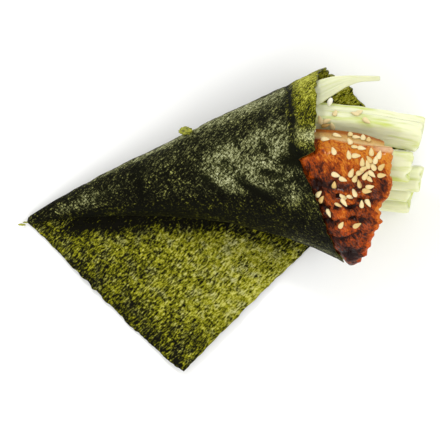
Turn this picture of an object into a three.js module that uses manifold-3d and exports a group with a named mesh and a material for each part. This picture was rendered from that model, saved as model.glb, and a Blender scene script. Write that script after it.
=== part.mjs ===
// A temaki hand roll lying on its side: half a sheet of nori rolled into a cone, with the loose end of the
// sheet lying flat as a tail, filled with a slab of glazed grilled eel, cucumber sticks and sesame seeds.
// Millimetres, +Z up. While it is built, the cone's tip is at x = 0, y = 0, and the table is z = 0.
import * as THREE from "three";
import { mergeVertices } from "three/addons/utils/BufferGeometryUtils.js";
import Module from "manifold-3d";

const wasm = await Module();
wasm.setup();

const { clamp, degToRad, lerp, smoothstep } = THREE.MathUtils;

// ---- The nori sheet -------------------------------------------------------------------------------------
const TAIL_EDGE = 71.5; // from the cone's tip along the sheet's long side to its loose corner
const TAIL_ANGLE = -44; // direction of that edge, in degrees from +X
const TAIL_BULGE = 0.7; // degrees by which that edge bulges near the corner and draws in nearer the tip
const TAIL_DRAWN_IN = 0.035; // how far the short edge bows in between the corner and the roll
const AXIS_ANGLE = 13; // direction of the cone's axis on the table, in degrees from +X
const SHEET_THICK = 0.6;
const LAYER_GAP = 0.35; // between the two layers where the sheet laps over itself
const LAP_END = 404; // the sheet's inner end, in degrees round the cone from the table line
const TIP_RADIUS = 1.2;
const TIP_PLACES = [0, 2, 4.5, 7, 10]; // rings of the twisted, solid tip, along the axis
const TIP_DEPTH = 0.3; // of that solid inside the cone's outer form
const MOUTH_AT = 101; // where the front of the mouth is, along the axis
const BACK_SLOPE = 0.222; // how fast the cone's back side leaves the axis
const BACK_BULGE = 4; // how far the back side bulges just after the tip
const FRONT_SLOPE = 0.18; // how fast the front side leaves the axis, near the tip
const FRONT_FLARE = 0.205; // what the flare adds to that at the mouth
const HEIGHT_AT_TIP = 0.8; // height of the cone as a share of its width
const HEIGHT_AT_MOUTH = 0.69;
const HEIGHT_HELD = 0.32; // how much of its growth the height loses past the mouth
const TABLE_FLAT = 0.05; // share of the height that is pressed flat against the table

const SHEET_ROWS = 21;
const TAIL_COLUMNS = 12;
const ROLL_COLUMNS = 45;
const SHEET_START = 0.035; // the sheet's grid starts this share of the way out from the tip

// Where the sheet's upper edge ends along the axis, at angles round the cone: 0 on the table, 90 at the
// back, 180 on top, 270 at the front. The sheet's far corner lies on the table at 0, and the edge steps
// back at a pinched fold just before the top.
const MOUTH_ANGLES = [0, 27, 45, 58, 90, 125, 155, 168, 172, 205, 232, 265, 300, LAP_END];
const MOUTH_ENDS = [129.5, 119.5, 115.5, 112, 107.5, 103.8, 100.2, 98.2, 92.6, 95.4, 96.8, 101, 103, 103];

// ---- The filling ----------------------------------------------------------------------------------------
const CLEARANCE = 0.35; // between touching pieces
const EEL_THICK = 9;
const EEL_DEPTH = 2; // of its glazed face inside the roll's outer form
const EEL_START = 52; // its hidden end, along the axis
const EEL_FRONT_ANGLE = 269; // its lower front edge, round the cone
const EEL_END_ANGLES = [150, 176, 193, 206, 217, 228, 243, EEL_FRONT_ANGLE];
const EEL_ENDS = [124.5, 123.5, 119.8, 116, 113.3, 111, 108.5, 105];
const EEL_BACK_TURN = 0.42; // how fast the glazed face's back edge turns forward, in degrees per mm
const EEL_BACK_ANGLE = 164; // where that edge is at the mouth
const EEL_BEVEL = 21; // degrees by which the cut back side runs out below the glazed face at the mouth
const EEL_BEVEL_LOSS = 0.56; // and how much of that it loses per mm further out
const EEL_END_SLANT = 2.5;
const EEL_ROUNDING = 2.2;
const EEL_ROWS = 22;
const EEL_COLUMNS = 12;
const EEL_ROOM_COLUMNS = 8; // of the plainer form that keeps the rice away from it
const EEL_ROOM_GROWN = 1.8; // how far that form stands out from it

const SEED_LENGTH = 3.1;
const SEED_WIDTH = 1.9;
const SEED_THICK = 1.0;
const RANDOM_SEED = 20;

// The sticks, front end last: the first lies across the top, the others are stacked and lean forward.
const STICKS = [
  { from: [84, 35.2, 25.5], to: [131, 29, 29], width: 9.2, height: 8.9, roll: 40, bend: 0.3, sway: 0.9 },
  { from: [84, 22, 28], to: [127.5, 17.8, 28.2], width: 9.6, height: 7, roll: 6, bend: 0.3, sway: 0 },
  { from: [84, 18.2, 20.4], to: [131, 14.2, 20.5], width: 8.6, height: 6.9, roll: 5, bend: 0.1, sway: 0 },
  { from: [84, 14.8, 12.9], to: [127.7, 10.8, 12.9], width: 8.4, height: 6.9, roll: 4, bend: 0, sway: 0 },
  { from: [84, 11.2, 5.6], to: [128, 7.2, 5.4], width: 8.8, height: 6.6, roll: 2, bend: 0, sway: 0 },
];
const STICK_ROWS = 5;
const STICK_CORNER = 0.8; // where the softened corners start, as a share of the half width

// The shred's middle line and half width: a wedge that thins to a strip.
const SHRED_LINE = [
  [91, 41, 28.4, 3.5],
  [97, 43.4, 28.8, 3.4],
  [102, 45.2, 28.8, 3.1],
  [106.5, 46.6, 29, 2],
  [110.5, 47.4, 29.3, 1.2],
  [118, 47.7, 29.8, 0.9],
];
const SHRED_THICK = 2.2;

const DROP_SIDES = 6;
const SEED_PROFILE = [[-0.5, 0.1], [0.12, 1], [0.5, 0.3]];
const RICE_PROFILE = [[-0.5, 0.4], [0, 1], [0.5, 0.4]];
const RICE_LENGTH = 6;
const RICE_WIDTH = 2.7;
const RICE_FRONT = 99;
const RICE_FREE = 1.2; // between the rice and the pieces round it
const RICE_GRAINS = 26;

// Where sesame seeds were strewn, in plan, before the roll is centred.
const EEL_SEEDS = [
  { at: [113.5, 18], spread: [5, 6], count: 18 },
  { at: [106, 27.4], spread: [8, 1.6], count: 4 },
  { at: [112, 25.5], spread: [7, 3.2], count: 8 },
  { at: [106.5, 12], spread: [8, 8], count: 11 },
  { at: [106, -1], spread: [6, 3], count: 4 },
];
const STICK_SEEDS = [
  { at: [101, 33], spread: [4, 3.4], count: 6 },
  { at: [111, 33.5], spread: [5, 3.5], count: 4 },
];

const COLOURS = {
  nori: 0x3f4a1c,
  eel: 0xa3461a,
  cucumber: 0xd5dca6,
  shred: 0xe6ebd0,
  rice: 0xf3efe4,
};

// ---- Small helpers --------------------------------------------------------------------------------------
function interpolate(places, values) {
  const table = new THREE.LinearInterpolant(places, values, 1);
  return (place) => table.evaluate(place)[0];
}

// Random numbers from 0 to 1 that are the same on every run.
function randomFrom(seed) {
  let state = seed;
  return () => {
    state = (state * 16807) % 2147483647;
    return state / 2147483647;
  };
}

function solidFrom(geometry) {
  const bare = geometry.clone();
  bare.deleteAttribute("normal");
  bare.deleteAttribute("uv");
  const merged = mergeVertices(bare, 1e-3);
  const mesh = new wasm.Mesh({
    numProp: 3,
    vertProperties: merged.attributes.position.array,
    triVerts: new Uint32Array(merged.index.array),
  });
  return new wasm.Manifold(mesh);
}

function geometryFrom(solid) {
  const mesh = solid.getMesh();
  const positions = new Float32Array(mesh.numVert * 3);
  for (let i = 0; i < mesh.numVert; i++) {
    positions.set(mesh.vertProperties.subarray(i * mesh.numProp, i * mesh.numProp + 3), i * 3);
  }
  const geometry = new THREE.BufferGeometry();
  geometry.setAttribute("position", new THREE.BufferAttribute(positions, 3));
  geometry.setIndex(new THREE.BufferAttribute(mesh.triVerts, 1));
  geometry.computeVertexNormals();
  return geometry;
}

// A closed solid between two grids of points with the same numbers of rows and columns. The upper grid is
// seen with its rows running right and its columns running up.
function slabBetween(rows, columns, upperAt, lowerAt) {
  const points = [];
  const index = [];
  for (const pointAt of [upperAt, lowerAt]) {
    for (let i = 0; i <= rows; i++) {
      for (let j = 0; j <= columns; j++) {
        points.push(...pointAt(i / rows, j / columns).toArray());
      }
    }
  }
  const upper = (i, j) => i * (columns + 1) + j;
  const lower = (i, j) => (rows + 1) * (columns + 1) + upper(i, j);
  const quad = (a, b, c, d) => index.push(a, b, c, a, c, d);
  for (let i = 0; i < rows; i++) {
    for (let j = 0; j < columns; j++) {
      quad(upper(i, j), upper(i + 1, j), upper(i + 1, j + 1), upper(i, j + 1));
      quad(lower(i, j), lower(i, j + 1), lower(i + 1, j + 1), lower(i + 1, j));
    }
    quad(lower(i, 0), lower(i + 1, 0), upper(i + 1, 0), upper(i, 0));
    quad(upper(i, columns), upper(i + 1, columns), lower(i + 1, columns), lower(i, columns));
  }
  for (let j = 0; j < columns; j++) {
    quad(upper(0, j), upper(0, j + 1), lower(0, j + 1), lower(0, j));
    quad(lower(rows, j), lower(rows, j + 1), upper(rows, j + 1), upper(rows, j));
  }
  const geometry = new THREE.BufferGeometry();
  geometry.setAttribute("position", new THREE.Float32BufferAttribute(points, 3));
  geometry.setIndex(index);
  return geometry;
}

// A closed solid through rings of points that run anticlockwise as seen from the last ring's end.
function loftThrough(rings) {
  const sides = rings[0].length;
  const points = rings.flat();
  const index = [];
  for (let r = 0; r < rings.length - 1; r++) {
    for (let k = 0; k < sides; k++) {
      const here = r * sides + k;
      const next = r * sides + ((k + 1) % sides);
      index.push(here, next, next + sides, here, next + sides, here + sides);
    }
  }
  for (const ring of [0, rings.length - 1]) {
    const middle = points.length;
    const sum = new THREE.Vector3();
    rings[ring].forEach((point) => sum.add(point));
    points.push(sum.divideScalar(sides));
    for (let k = 0; k < sides; k++) {
      const here = ring * sides + k;
      const next = ring * sides + ((k + 1) % sides);
      index.push(...(ring === 0 ? [next, here, middle] : [here, next, middle]));
    }
  }
  const geometry = new THREE.BufferGeometry().setFromPoints(points);
  geometry.setIndex(index);
  return geometry;
}

// ---- The cone's form ------------------------------------------------------------------------------------
// A point of the plan from its distance along the axis and its distance to the left of it.
function onPlan(along, left, up) {
  const turn = degToRad(AXIS_ANGLE);
  return new THREE.Vector3(
    along * Math.cos(turn) - left * Math.sin(turn),
    along * Math.sin(turn) + left * Math.cos(turn),
    up,
  );
}

// The cone's middle line, half width and height at a distance along the axis.
function crossSection(along) {
  const back = BACK_SLOPE * along + BACK_BULGE * (1 - Math.exp(-along / 13));
  const flare = FRONT_FLARE * Math.pow(Math.min(along, MOUTH_AT) / MOUTH_AT, 2.5);
  const front = -along * (FRONT_SLOPE + flare);
  const half = (back - front) / 2 + TIP_RADIUS * Math.exp(-along / 10);
  const share = lerp(HEIGHT_AT_TIP, HEIGHT_AT_MOUTH, clamp(along / MOUTH_AT, 0, 1));
  const pastMouth = Math.max(0, along - MOUTH_AT);
  return { middle: (back + front) / 2, half, height: 2 * half * share - HEIGHT_HELD * pastMouth };
}

// Folds and dents of the rolled sheet: how far it is pressed in, at a place on the cone.
function dentAt(along, angle) {
  const valley = (distance, width) => Math.exp(-((distance / width) ** 2));
  const nearTop = smoothstep(angle, 95, 120) * (1 - smoothstep(angle, 165, 185));
  const rimFold = 0.9 * nearTop * valley(along - 91.5 + 0.05 * (angle - 130), 2.2);
  const pinch = 2.2 * valley(along - 92, 6) * valley(angle - 171, 6);
  const furrow = 1.1 * smoothstep(along, 60, 85) * valley(angle - 183 + 0.35 * (92 - along), 5);
  const swell = 0.5 * Math.sin(along / 9 + degToRad(2 * angle)) * smoothstep(along, 20, 60);
  const onTop = smoothstep(angle, 75, 110) * (1 - smoothstep(angle, 250, 275));
  return (rimFold + pinch + furrow + swell) * onTop;
}

// A point of a surface that lies a depth inside the cone's outer form, at an angle round it.
function insideCone(along, angle, depth) {
  const { middle, half, height } = crossSection(along);
  const round = Math.PI * (angle / 180);
  const lowerHalf = Math.cos(round) > 0;
  const squareness = lowerHalf ? 0.84 : 0.96;
  const outward = Math.sign(Math.sin(round)) * Math.pow(Math.abs(Math.sin(round)), squareness);
  const upward = -Math.sign(Math.cos(round)) * Math.pow(Math.abs(Math.cos(round)), squareness);
  const rise = Math.max(0, (1 + upward) / 2 - TABLE_FLAT) / (1 - TABLE_FLAT);
  return onPlan(along, middle + (half - depth) * outward, depth + (height - 2 * depth) * rise);
}

const mouthEnd = interpolate(MOUTH_ANGLES, MOUTH_ENDS);

// How deep the sheet's outer face lies: it goes in by one layer on its way round, off the table.
function layerDepth(angle) {
  return (SHEET_THICK + LAYER_GAP) * clamp((angle - 60) / 240, 0, 1);
}

function rolledPoint(share, angle, depth) {
  const along = share * mouthEnd(angle);
  return insideCone(along, angle, layerDepth(angle) + dentAt(along, angle) + depth);
}

// The tail lies between its free edge and the line where the roll meets the table.
function tailPoint(share, across, lift) {
  const turn = degToRad(TAIL_ANGLE - TAIL_BULGE * Math.sin(2 * Math.PI * share - 2.2) * (1 - across));
  const corner = new THREE.Vector3(TAIL_EDGE * Math.cos(turn), TAIL_EDGE * Math.sin(turn), 0);
  const rollLineEnd = rolledPoint(1, 0, 0);
  const edge = corner.lerp(rollLineEnd, across);
  const bow = rolledPoint(share, 0, 0).sub(rollLineEnd.clone().multiplyScalar(share));
  const drawnIn = 1 - TAIL_DRAWN_IN * Math.sin(Math.PI * across) * share;
  const height = lift + tailWave(share, across);
  return edge.multiplyScalar(share * drawnIn).addScaledVector(bow, across).setZ(height);
}

// The loose tail is a little wavy, and lies flat where it goes under the roll.
function tailWave(share, across) {
  const free = 1 - smoothstep(across, 0.25, 0.75);
  const wave = 0.5 + 0.5 * Math.sin(7 * share + 5 * across);
  return 1.6 * wave * free * smoothstep(share, 0.15, 0.5);
}

// The rolled sheet, from the tail's free edge to the inner end, with its solid twisted tip.
function noriSheet() {
  const columns = TAIL_COLUMNS + ROLL_COLUMNS;
  const faceAt = (depth) => (share, place) => {
    const column = place * columns;
    const radius = lerp(SHEET_START, 1, share);
    return column < TAIL_COLUMNS
      ? tailPoint(radius, column / TAIL_COLUMNS, depth)
      : rolledPoint(radius, (LAP_END * (column - TAIL_COLUMNS)) / ROLL_COLUMNS, depth);
  };
  const sheet = solidFrom(slabBetween(SHEET_ROWS, columns, faceAt(SHEET_THICK), faceAt(0)));
  return sheet.add(solidFrom(loftThrough(coneRings(TIP_PLACES, TIP_DEPTH, 20))));
}

// The room the rolled sheet takes up, with clearance on both of its faces.
function roomOfSheet() {
  const faceAt = (depth) => (share, place) => {
    return rolledPoint(lerp(SHEET_START, 1, share), LAP_END * place, depth);
  };
  const inner = faceAt(SHEET_THICK + CLEARANCE);
  return solidFrom(slabBetween(SHEET_ROWS, ROLL_COLUMNS, inner, faceAt(-CLEARANCE)));
}

// Rings round the cone's form, at some distances along it and at one depth inside it.
function coneRings(places, depth, sides) {
  return places.map((along) => {
    const ring = [];
    for (let k = 0; k < sides; k++) {
      ring.push(insideCone(along, (360 * k) / sides, depth));
    }
    return ring;
  });
}

// The space inside the roll, drawn out past the mouth.
function hollowOfRoll(depth) {
  const places = [12, 24, 40, 56, 70, 84, 98, 112, 126, 140];
  return solidFrom(loftThrough(coneRings(places, depth, 60)));
}

// ---- The eel --------------------------------------------------------------------------------------------
const eelEnd = interpolate(EEL_END_ANGLES, EEL_ENDS);

// A point of the slab: u runs from the hidden end to the cut end, v from the front edge to the cut back
// side, and deep from the glazed face, 0, to the underside, 1.
function eelPoint(u, v, deep) {
  const outside = Math.max(lerp(EEL_START, eelEnd(EEL_BACK_ANGLE), u) - MOUTH_AT, -12);
  const bevel = EEL_BEVEL - EEL_BEVEL_LOSS * outside;
  const backAngle = EEL_BACK_ANGLE + EEL_BACK_TURN * outside - bevel * deep;
  const angle = lerp(EEL_FRONT_ANGLE, backAngle, v);
  const along = lerp(EEL_START, eelEnd(angle) - EEL_END_SLANT * deep, u);
  const edge = Math.min(u * 9, (1 - u) * 9, v * 7, (1 - v) * 7, 1);
  const rounded = (1 - Math.sqrt(1 - (1 - edge) ** 2)) * EEL_ROUNDING;
  const furrow = 0.55 * Math.sin(along / 2.4 + angle / 17) + 0.35 * Math.sin(along / 1.3 - angle / 9);
  const shown = smoothstep(along, 88, 96) * edge;
  const inward = lerp(rounded + furrow * shown, EEL_THICK - rounded, deep);
  const underRoll = dentAt(along, angle) * (1 - smoothstep(along, mouthEnd(angle), mouthEnd(angle) + 4));
  return insideCone(along, angle, EEL_DEPTH + inward + underRoll);
}

// The room the slab takes up among the rice, with some space round it.
function roomOfEel() {
  const grownPoint = (deep) => (u, v) => {
    const middle = eelPoint(clamp(u, 0.05, 0.95), clamp(v, 0.08, 0.92), 0.5);
    const here = eelPoint(u, v, deep);
    return here.add(here.clone().sub(middle).normalize().multiplyScalar(EEL_ROOM_GROWN));
  };
  return solidFrom(slabBetween(EEL_ROWS, EEL_ROOM_COLUMNS, grownPoint(0), grownPoint(1)));
}

function eelSlab() {
  const faceAt = (deep) => (u, v) => eelPoint(u, v, deep);
  return solidFrom(slabBetween(EEL_ROWS, EEL_COLUMNS, faceAt(0), faceAt(1)));
}

// ---- Sesame seeds ---------------------------------------------------------------------------------------
// A small rounded body along +X, through rings given as a place along it and a share of its width.
function dropShape(profile, length, width, thick) {
  const rings = profile.map(([place, share]) => {
    const ring = [];
    for (let k = 0; k < DROP_SIDES; k++) {
      const turn = (2 * Math.PI * k) / DROP_SIDES;
      const [across, up] = [(share * width) / 2, (share * thick) / 2];
      ring.push(new THREE.Vector3(place * length, across * Math.cos(turn), up * Math.sin(turn)));
    }
    return ring;
  });
  return loftThrough(rings);
}

// A flat drop, pointed at one end, lying on a surface with this normal.
function seedAt(place, normal, heading) {
  const geometry = dropShape(SEED_PROFILE, SEED_LENGTH, SEED_WIDTH, SEED_THICK);
  const lying = new THREE.Quaternion().setFromUnitVectors(new THREE.Vector3(0, 0, 1), normal);
  const turned = new THREE.Quaternion().setFromAxisAngle(new THREE.Vector3(0, 0, 1), heading);
  geometry.applyQuaternion(lying.multiply(turned));
  geometry.translate(place.x, place.y, place.z);
  return solidFrom(geometry);
}

// Seeds strewn round a few middles on a surface, none lying over another.
function strewSeeds(clusters, surfaceAt, random) {
  const placed = [];
  const solids = [];
  for (const { at, spread, count } of clusters) {
    let left = count;
    for (let tries = 0; tries < 60 * count && left > 0; tries++) {
      const away = Math.sqrt(random());
      const round = 2 * Math.PI * random();
      const x = at[0] + spread[0] * away * Math.cos(round);
      const y = at[1] + spread[1] * away * Math.sin(round);
      const heading = 2 * Math.PI * random();
      const found = surfaceAt(x, y);
      if (!found || placed.some((other) => other.distanceTo(found.place) < SEED_LENGTH * 0.85)) {
        continue;
      }
      placed.push(found.place);
      solids.push(seedAt(found.place, found.normal, heading));
      left -= 1;
    }
  }
  return solids;
}

// The point straight below a place in plan, on a geometry's surface.
function surfaceFinder(geometry) {
  const probe = new THREE.Mesh(geometry, new THREE.MeshStandardMaterial({ side: THREE.DoubleSide }));
  const ray = new THREE.Raycaster();
  return (x, y) => {
    ray.set(new THREE.Vector3(x, y, 100), new THREE.Vector3(0, 0, -1));
    const [hit] = ray.intersectObject(probe);
    return hit && hit.face.normal.z > 0.35 ? { place: hit.point, normal: hit.face.normal.clone() } : null;
  };
}

// ---- Cucumber sticks ------------------------------------------------------------------------------------
// The corners of a square section with softened corners, anticlockwise, from -1 to 1 each way.
const squareSection = [[-1, -1], [1, -1], [1, 1], [-1, 1]].flatMap(([a, b]) => {
  const onSide = [a, b * STICK_CORNER];
  const onTop = [a * STICK_CORNER, b];
  return a * b > 0 ? [onSide, onTop] : [onTop, onSide];
});

// A squared stick with softened long edges, bent a little, its far end cut at a slant.
function stickSolid({ from, to, width, height, roll, bend, sway }, grow) {
  const start = new THREE.Vector3(...from);
  const end = new THREE.Vector3(...to);
  const axis = end.clone().sub(start);
  const length = axis.length();
  axis.normalize();
  const side = new THREE.Vector3(0, 0, 1).cross(axis).normalize();
  side.applyAxisAngle(axis, degToRad(roll));
  const up = axis.clone().cross(side);
  const rings = [];
  for (let i = 0; i <= STICK_ROWS; i++) {
    const t = i / STICK_ROWS;
    const ring = [];
    const soft = i === 0 || i === STICK_ROWS ? 0.94 : 1;
    for (const [a, b] of squareSection) {
      const point = start.clone().addScaledVector(axis, lerp(-grow, length + grow, t));
      point.addScaledVector(side, a * (width / 2) * soft + a * grow);
      point.addScaledVector(up, b * (height / 2) * soft + b * grow + bend * Math.sin(Math.PI * t));
      point.addScaledVector(axis, t * 0.7 * a);
      point.y += sway * Math.sin(Math.PI * t);
      ring.push(point);
    }
    rings.push(ring);
  }
  return solidFrom(loftThrough(rings));
}

// A thin shred that lies flat against the inside of the back wall.
function shredSolid(grow) {
  const rings = SHRED_LINE.map(([x, y, z, half], i) => {
    const reach = i === 0 ? -grow : i === SHRED_LINE.length - 1 ? grow : 0;
    const ring = [];
    for (const [a, b] of squareSection) {
      const thick = SHRED_THICK / 2 + grow;
      ring.push(new THREE.Vector3(x + reach, y + a * (half + grow), z + b * thick));
    }
    return ring;
  });
  return solidFrom(loftThrough(rings));
}

// ---- Rice -----------------------------------------------------------------------------------------------
function riceGrain(place, direction) {
  const geometry = dropShape(RICE_PROFILE, RICE_LENGTH, RICE_WIDTH, RICE_WIDTH);
  geometry.applyQuaternion(new THREE.Quaternion().setFromUnitVectors(new THREE.Vector3(1, 0, 0), direction));
  geometry.translate(place.x, place.y, place.z);
  return solidFrom(geometry);
}

// Rice packed into the roll behind the other fillings, with grains standing out of its front face.
function riceHeap(taken) {
  const random = randomFrom(RANDOM_SEED + 7);
  const depth = 2 * SHEET_THICK + LAYER_GAP + RICE_FREE;
  const core = solidFrom(loftThrough(coneRings([16, 40, 64, 82, RICE_FRONT], depth, 28)));
  const grains = [];
  for (let tries = 0; tries < 400 && grains.length < RICE_GRAINS; tries++) {
    const place = insideCone(RICE_FRONT + 0.9 + 1.5 * random(), 360 * random(), depth + 2.6 + 17 * random());
    const direction = new THREE.Vector3(0.7 * random(), random() - 0.5, random() - 0.5).normalize();
    const grain = riceGrain(place, direction);
    if (grain.intersect(taken).volume() < 3) {
      grains.push(grain);
    }
  }
  return largestOf(wasm.Manifold.union([core, ...grains]).subtract(taken));
}

function largestOf(solid) {
  const pieces = solid.decompose();
  pieces.sort((a, b) => b.volume() - a.volume());
  return pieces[0];
}

// ---- Putting it together --------------------------------------------------------------------------------
const random = randomFrom(RANDOM_SEED);
const sheet = noriSheet();
const sheetRoom = roomOfSheet();
const hollow = hollowOfRoll(2 * SHEET_THICK + LAYER_GAP + CLEARANCE);

const sticksGrown = (grow) => STICKS.map((stick) => stickSolid(stick, grow));
const stickRoom = wasm.Manifold.union(sticksGrown(CLEARANCE));
const sticks = sticksGrown(0).map((stick) => stick.intersect(hollow).subtract(sheetRoom));
const shred = shredSolid(0).subtract(stickRoom).intersect(hollow).subtract(sheetRoom);
const bareEel = largestOf(eelSlab().subtract(stickRoom).subtract(shredSolid(CLEARANCE)).subtract(sheetRoom));
const taken = [...sticksGrown(RICE_FREE - CLEARANCE), shredSolid(CLEARANCE), sheetRoom, roomOfEel()];
const rice = riceHeap(wasm.Manifold.union(taken));

const eelSeeds = strewSeeds(EEL_SEEDS, surfaceFinder(geometryFrom(bareEel)), random);
const stickSeeds = strewSeeds(STICK_SEEDS, surfaceFinder(geometryFrom(sticks[0])), random);
const eel = wasm.Manifold.union([bareEel, ...eelSeeds]);
const topStick = wasm.Manifold.union([sticks[0], ...stickSeeds]);

const root = new THREE.Group();

function addPiece(name, solid, color, roughness) {
  const mesh = new THREE.Mesh(
    geometryFrom(solid),
    new THREE.MeshStandardMaterial({ color, roughness, metalness: 0 }),
  );
  mesh.name = name;
  root.add(mesh);
}

addPiece("nori_sheet", sheet, COLOURS.nori, 0.45);
addPiece("rice_heap", rice, COLOURS.rice, 0.5);
addPiece("eel_slab", eel, COLOURS.eel, 0.3);
[topStick, ...sticks.slice(1)].forEach((stick, i) => {
  addPiece(`cucumber_stick_${i + 1}`, stick, COLOURS.cucumber, 0.4);
});
addPiece("cucumber_shred", shred, COLOURS.shred, 0.4);

// The origin is on the table, under the middle of the whole roll.
const whole = new THREE.Box3().setFromObject(root);
const middle = whole.getCenter(new THREE.Vector3());
root.position.set(-middle.x, -middle.y, -whole.min.z);

export default root;
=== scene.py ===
"""A temaki hand roll lying on its side: a cone of nori with a loose flat tail, filled with rice, glazed eel,
cucumber sticks and sesame seeds. Lengths of the food are in millimetres, with the cone's tip at x = 0, y = 0
and the table at z = 0, until make_piece puts them in the frame's metres."""

import math

import bmesh
import bpy
import numpy as np
from bpy.props import FloatProperty, FloatVectorProperty, IntProperty, PointerProperty
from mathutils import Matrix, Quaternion, Vector, noise
from mathutils.bvhtree import BVHTree


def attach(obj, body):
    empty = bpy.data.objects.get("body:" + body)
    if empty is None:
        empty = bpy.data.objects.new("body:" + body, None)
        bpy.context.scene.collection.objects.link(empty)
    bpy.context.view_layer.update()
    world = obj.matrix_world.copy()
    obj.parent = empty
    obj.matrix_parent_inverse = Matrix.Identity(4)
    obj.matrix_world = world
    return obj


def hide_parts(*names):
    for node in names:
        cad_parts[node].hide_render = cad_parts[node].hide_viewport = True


bl_info = {
    "name": "Temaki Hand Roll",
    "version": (1, 0, 0),
    "blender": (4, 5, 0),
    "location": "3D View > Sidebar > Hand roll",
    "description": "Builds a temaki hand roll over its solid frame, piece by piece",
    "category": "Object",
}

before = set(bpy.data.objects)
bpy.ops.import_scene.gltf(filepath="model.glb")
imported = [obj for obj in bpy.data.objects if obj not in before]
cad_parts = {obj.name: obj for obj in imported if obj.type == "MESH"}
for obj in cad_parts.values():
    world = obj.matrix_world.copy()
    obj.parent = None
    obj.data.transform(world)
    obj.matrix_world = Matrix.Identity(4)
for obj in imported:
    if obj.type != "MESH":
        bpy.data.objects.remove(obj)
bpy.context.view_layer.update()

MM = 0.001
TIP_TO_ORIGIN = (66.094, 1.136)  # the frame's origin in plan, seen from the cone's tip


# ---- Numbers and colours --------------------------------------------------------------------------------
def linear(hex_colour):
    """An sRGB hex colour such as "#3f4a1c" as linear red, green and blue."""
    channels = [int(hex_colour[i : i + 2], 16) / 255 for i in (1, 3, 5)]
    return tuple(c / 12.92 if c <= 0.04045 else ((c + 0.055) / 1.055) ** 2.4 for c in channels)


def smoothstep(value, low, high):
    """0 below low, 1 above high, and an even ramp between them."""
    t = np.clip((value - low) / (high - low), 0, 1)
    return t * t * (3 - 2 * t)


def bump_at(distance, width):
    """A rounded bump, 1 where distance is 0."""
    return np.exp(-((distance / width) ** 2))


def roughness_of(points, size, octaves=3, seed=0.0):
    """Fractal noise, about -1 to 1, at points in mm, with its largest lumps this many mm across."""
    offset = Vector((seed * 17.3, seed * -9.1, seed * 5.7))
    flat = points.reshape(-1, 3) / size
    values = [noise.fractal(Vector(p) + offset, 1.0, 2.0, octaves) for p in flat]
    return np.array(values).reshape(points.shape[:-1])


# ---- The cone's form ------------------------------------------------------------------------------------
# Angles round the cone are in degrees: 0 underneath, 90 at the back, 180 on top and 270 at the front. The
# sheet starts at 0, goes round once and laps over its own start as far as LAP_END.
AXIS_ANGLE = 13.0
TIP_RADIUS = 1.2
MOUTH_AT = 101.0
BACK_SLOPE, BACK_BULGE = 0.222, 4.0
FRONT_SLOPE, FRONT_FLARE = 0.18, 0.205
HEIGHT_AT_TIP, HEIGHT_AT_MOUTH, HEIGHT_HELD = 0.8, 0.69, 0.32
TABLE_FLAT = 0.05
SHEET_THICK, LAYER_GAP, LAP_END = 0.6, 0.35, 404.0
TAIL_EDGE, TAIL_ANGLE, TAIL_BULGE, TAIL_DRAWN_IN = 72.3, -44.5, 0.7, 0.024
RIM_FOLD, FOLD_LEAN, FOLD_ANGLE = 91.5, 0.05, 130
# Where the sheet's edge lies along the axis, at angles on its way round.
MOUTH_ANGLES = (0, 27, 45, 58, 90, 125, 155, 168, 172, 205, 232, 265, 300, LAP_END)
MOUTH_ENDS = (129.5, 118.4, 114.2, 110.8, 106.2, 103.4, 100.2, 98.2, 92.6, 95.4, 96.8, 99.4, 100, 103)


def on_plan(along, left, up):
    """Points from distances along the cone's axis, to the left of it, and up."""
    turn = math.radians(AXIS_ANGLE)
    x = along * math.cos(turn) - left * math.sin(turn)
    y = along * math.sin(turn) + left * math.cos(turn)
    return np.stack(np.broadcast_arrays(x, y, up), axis=-1)


def cross_section(along):
    """The cone's middle line, half width and height."""
    back = BACK_SLOPE * along + BACK_BULGE * (1 - np.exp(-along / 13))
    flare = FRONT_FLARE * (np.minimum(along, MOUTH_AT) / MOUTH_AT) ** 2.5
    front = -along * (FRONT_SLOPE + flare)
    half = (back - front) / 2 + TIP_RADIUS * np.exp(-along / 10)
    share = HEIGHT_AT_TIP + (HEIGHT_AT_MOUTH - HEIGHT_AT_TIP) * np.clip(along / MOUTH_AT, 0, 1)
    held = HEIGHT_HELD * np.maximum(0, along - MOUTH_AT)
    return (back + front) / 2, half, 2 * half * share - held


def inside_cone(along, angle, depth):
    """Points at an angle round the cone and a depth inside its outer form."""
    middle, half, height = cross_section(along)
    sine, cosine = np.sin(np.radians(angle)), np.cos(np.radians(angle))
    square = np.where(cosine > 0, 0.84, 0.96)
    outward = np.sign(sine) * np.abs(sine) ** square
    upward = -np.sign(cosine) * np.abs(cosine) ** square
    rise = np.maximum(0, (1 + upward) / 2 - TABLE_FLAT) / (1 - TABLE_FLAT)
    return on_plan(along, middle + (half - depth) * outward, depth + (height - 2 * depth) * rise)


def dent_at(along, angle):
    """How far folds and dents press the sheet in."""
    near_top = smoothstep(angle, 95, 120) * (1 - smoothstep(angle, 165, 185))
    rim_fold = 0.9 * near_top * bump_at(along - RIM_FOLD + FOLD_LEAN * (angle - FOLD_ANGLE), 2.2)
    pinch = 2.2 * bump_at(along - 92, 6) * bump_at(angle - 171, 6)
    furrow = 1.1 * smoothstep(along, 60, 85) * bump_at(angle - 183 + 0.35 * (92 - along), 5)
    swell = 0.5 * np.sin(along / 9 + np.radians(2 * angle)) * smoothstep(along, 20, 60)
    on_top = smoothstep(angle, 75, 110) * (1 - smoothstep(angle, 250, 275))
    return (rim_fold + pinch + furrow + swell) * on_top


def mouth_end(angle):
    """Where the sheet ends along the axis."""
    return np.interp(angle, MOUTH_ANGLES, MOUTH_ENDS)


def layer_depth(angle):
    """How deep the sheet's outer face lies on its way round."""
    return (SHEET_THICK + LAYER_GAP) * np.clip((angle - 60) / 240, 0, 1)


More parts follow.
